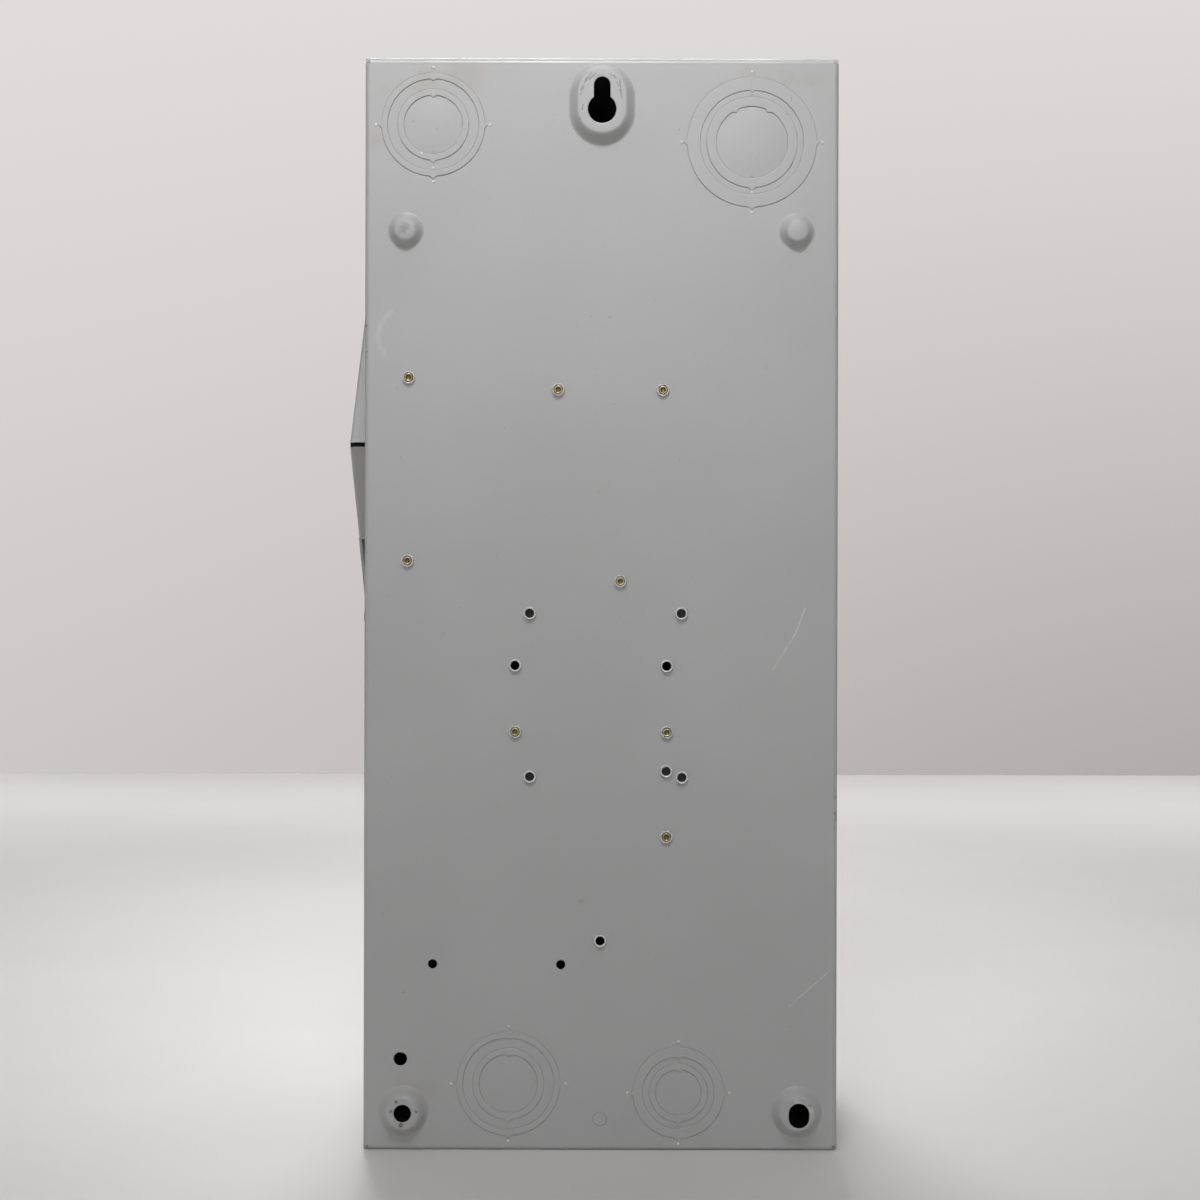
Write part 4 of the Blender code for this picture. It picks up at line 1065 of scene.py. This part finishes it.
# how far in from a ferrule's side, and the height from its end and then from its mouth, in mm
FERRULE_END = ((3, 0), (2.4, 0.25), (1.2, 0.1), (0.3, 0.5), (0, 1.3))
FERRULE_MOUTH = ((0, -4.2), (0.35, -3.6), (0.35, -3.2), (0, -2.6), (0, -0.3), (0.25, 0), (0.7, 0))


def fuse(number):
    """A cartridge fuse: a wound tube between two spun ferrules."""
    node = f"fuse_{number}"
    low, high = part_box(node)
    x, y, _ = centre_of(node)
    cap, ferrule, hidden, count = (high.x - low.x) / 2, 15 * MM, 12 * MM, 48
    outer = [(cap - inset * MM, height * MM) for inset, height in FERRULE_END]
    outer += [(cap - inset * MM, ferrule + height * MM) for inset, height in FERRULE_MOUTH]
    for name, end, inward in (("lower", low.z, 1), ("upper", high.z, -1)):
        bm = bmesh.new()
        turned(bm, [(0, 0), *outer, (0, ferrule)], (x, y, end), (0, 0, inward), count)
        closed_piece(f"{node}_{name}_ferrule", bm, "fuse_cap", "enclosure", "fuse_tube")
    bm = bmesh.new()
    radius, bottom, top = cap - 0.7 * MM, low.z + hidden, high.z - hidden
    turned(bm, [(0, bottom), (radius, bottom), (radius, top), (0, top)], (x, y, 0), (0, 0, 1), count)
    closed_piece(f"{node}_barrel", bm, "fuse_tube", "enclosure", "fuse_tube", node)


def shaft_axis():
    """The handle's turning axis, as a point at x 0."""
    _, y, z = centre_of("handle_shaft")
    return Vector((0, y, z))


def drive_spring():
    """A coil spring round the handle's shaft."""
    low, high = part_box("drive_spring")
    wire, radius, coils, steps = 1.0 * MM, 9.6 * MM, 4, 28
    start, end = low.x + wire, high.x - wire
    path = []
    for i in range(coils * steps + 1):
        share = i / (coils * steps)
        angle = TAU * coils * share
        turn = Vector((start + (end - start) * share, radius * math.cos(angle), radius * math.sin(angle)))
        path.append(shaft_axis() + turn)
    bm = bmesh.new()
    tube(bm, path, wire, 10)
    closed_piece("drive_spring_wire", bm, "zinc_plate", "enclosure", "zinc_plate", "drive_spring", sharp=60)


# the grip's sections in mm: distance from the shaft, half width and half thickness
GRIP_SECTIONS = (
    (119.6, 8.8, 5.0), (119.8, 10.2, 6.2), (120.6, 10.9, 6.8), (123.0, 11.0, 6.9), (124.0, 10.6, 6.6),
    (124.6, 9.9, 6.1), (125.2, 10.6, 6.6), (126.2, 11.0, 6.9), (128.4, 11.0, 6.9), (129.2, 10.5, 6.5),
    (129.8, 9.8, 6.0), (130.6, 10.0, 6.2), (138, 9.7, 6.3), (148, 9.5, 6.4), (157, 9.7, 6.5),
    (166, 10.3, 6.7), (173, 10.9, 6.9), (177.6, 10.6, 6.7), (180.4, 8.6, 5.7), (182.2, 6.4, 4.2),
    (183.2, 3.4, 2.2),
)
GRIP_ENDS = (119.6, 183.45)


def grip():
    """The moulded grip: a waisted bar with a collar and two rings at its throat."""
    pivot = shaft_axis() + Vector((centre_of("handle_grip")[0], 0, 0))
    along, side = Vector((0, -1, -1)).normalized(), Vector((0, 1, -1)).normalized()

    def squarish(value, half):
        return math.copysign(abs(value) ** 0.62, value) * half * MM

    bm = bmesh.new()
    rows = []
    for s, half_w, half_t in GRIP_SECTIONS:
        centre = pivot + along * (s * MM)
        ring = []
        for angle in turns(44):
            across = Vector((squarish(math.sin(angle), half_t), 0, 0))
            ring.append(bm.verts.new(centre + side * squarish(math.cos(angle), half_w) + across))
        rows.append(ring)
    ends = [[bm.verts.new(pivot + along * (s * MM))] for s in GRIP_ENDS]
    join_rows(bm, [ends[0], *rows, ends[1]])
    closed_piece("handle_grip_moulding", bm, "red_grip", "handle", "red_grip", "handle_grip", sharp=60)


# CAD nodes shown with their edges broken to this radius. A name that ends in _ is one of three poles
REFINED = {
    0.9 * MM: ("handle_lever",),
    0.6 * MM: (
        "latch_knob", "hinge_upper_box_leaf", "hinge_lower_box_leaf", "hinge_upper_door_leaf",
        "hinge_lower_door_leaf", "line_base", "load_base", "rotor_bar", "shaft_bushing",
    ),
    0.4 * MM: (
        "mechanism_frame", "latch_cam", "handle_crank", "rotor_crank", "drive_link", "handle_shaft",
        "rotor_shaft", "interlock_hook", "hinge_upper_pin", "hinge_lower_pin",
        "arc_chute_", "line_lug_", "load_lug_",
    ),
    0.3 * MM: ("line_contact_", "upper_fuse_clip_", "lower_fuse_clip_", "moving_blade_", "line_shield"),
}


def small_parts():
    for width, names in REFINED.items():
        for name in names:
            for node in [f"{name}{pole}" for pole in (1, 2, 3)] if name.endswith("_") else [name]:
                refine(node, width)
    for group, places in SCREWS.items():
        for number, (x, z) in enumerate(places, 1):
            machine_screw(f"{group}_{number}", x, z)
    for number in (1, 2, 3):
        fuse(number)
    drive_spring()
    grip()


# ---- setting
ROOM, ROOM_HEIGHT = 4.0, 3.0
WALL_Y = -2.3
ROOM_GLOW = 0.14
# place, aim, size, power in watts and spread in degrees
LIGHTS = {
    "front_low": ((0.25, 1.9, 0.95), (0, 0.075, 0.36), (1.2, 0.9), 0.95, 64),
    "front_top": ((0.05, 0.85, 1.22), (0, 0.0, 0.70), (0.26, 0.18), 1.48, 72),
    "back_top": ((0.0, -0.9, 2.1), (0, -0.3, 0.0), (2.4, 1.4), 12.0, 180),
    "ceiling": ((0.0, 2.1, 2.4), (0, 2.1, 0.0), (7.6, 3.6), 20.0, 140),
    "back_floor": ((0.0, -1.9, 1.6), (0.0, -1.95, 0.0), (5.0, 0.8), 20.8, 110),
    "far_floor": ((0.0, 3.1, 1.9), (0.0, 3.3, 0.0), (7.0, 1.6), 22.0, 100),
    "left_floor": ((-2.7, 0.6, 1.7), (-2.8, 0.6, 0.0), (5.5, 2.0), 32.0, 96),
    "right_floor": ((2.7, 0.6, 1.7), (2.8, 0.6, 0.0), (5.5, 2.0), 32.0, 96),
    "door_key": ((0.16, -1.9, 1.35), (0, -0.09, 0.3), (0.8, 0.8), 3.2, 60),
}
CAMERA_AT = (0.0005, 1.175, 0.266)
CAMERA_ROLL = 0.13
LENS = 68.28


def chalky(name):
    """Plain pale matt paint, very faintly mottled."""
    look = Look(name + "_paint", 0.6)
    look.paint(look.mix(look.span(look.noise(3, 3), 0.3, 0.7), (0.715, 0.700, 0.688), (0.740, 0.725, 0.713)))
    look.bump(look.noise(150, 2), 0.1 * MM, 0.3)
    return look.material


def glowing(name):
    """The room's walls: they glow pale grey instead of being lit, with painted light that is lighter towards
    the top and, low down, darker towards -x; they light nothing.
    """
    look = Look(name + "_glow", 0.8)
    x, _, z = look.axes()
    look.paint((0.0, 0.0, 0.0))
    # painted light: low down, darker towards -x
    low = look.mix(look.span(x, -1.3, 1.3), (0.345, 0.332, 0.327), (0.566, 0.550, 0.540))
    look.set("Emission Color", look.mix(look.span(z, -0.6, 1.6), low, (0.76, 0.74, 0.73)))
    look.set("Emission Strength", 1.0)
    look.set("Specular IOR Level", 0.0)
    return look.material


def stage_sheet(name, corners, material_maker):
    mesh = bpy.data.meshes.new(name)
    mesh.from_pydata(corners, [], [(0, 1, 2, 3)])
    LOOKS[name] = material_maker(name)
    made = new_object(name, mesh, name)
    return made


def stage():
    ground = [(x, y, 0) for x, y in rectangle(-ROOM, WALL_Y, ROOM, ROOM)]
    stage_sheet("floor", ground, chalky)
    for name, first, second in (
        ("backdrop", 1, 0), ("far_wall", 3, 2), ("left_wall", 0, 3), ("right_wall", 2, 1),
    ):
        foot = [ground[first], ground[second]]
        made = stage_sheet(name, foot + [(x, y, ROOM_HEIGHT) for x, y, _ in reversed(foot)], glowing)
        made.visible_diffuse = made.visible_glossy = made.visible_shadow = False


def lighting():
    for name, (place, aim, size, power, spread) in LIGHTS.items():
        data = bpy.data.lights.new(name, "AREA")
        data.shape, data.size, data.size_y = "RECTANGLE", size[0], size[1]
        data.energy, data.spread = power, math.radians(spread)
        made = bpy.data.objects.new(name, data)
        made.location = place
        made.rotation_euler = (Vector(aim) - Vector(place)).to_track_quat("-Z", "Y").to_euler()
        link(made)
    world = bpy.data.worlds.new("room")
    bpy.context.scene.world = world
    world.use_nodes = True
    background = world.node_tree.nodes["Background"]
    background.inputs["Color"].default_value = (1.0, 1.0, 1.0, 1)
    background.inputs["Strength"].default_value = ROOM_GLOW


def camera():
    """The camera looks level at the wall side, along -Y."""
    bpy.context.scene.view_settings.view_transform = "Standard"
    data = bpy.data.cameras.new("camera")
    data.lens, data.sensor_width = LENS, 36
    made = bpy.data.objects.new("camera", data)
    made.location = CAMERA_AT
    facing = Matrix.Rotation(math.pi, 3, "Z") @ Matrix.Rotation(math.pi / 2, 3, "X")
    made.rotation_euler = (facing @ Matrix.Rotation(math.radians(CAMERA_ROLL), 3, "Z")).to_euler()
    bpy.context.scene.camera = link(made)


def main():
    for name, node in frame["nodes"].items():
        for holder in node.material_slots:
            holder.material = LOOKS[SLOTS[name]]
    enclosure()
    housing()
    slit_shade_strip()
    door()
    small_parts()
    stage()
    lighting()
    camera()
    bpy.context.view_layer.update()


main()
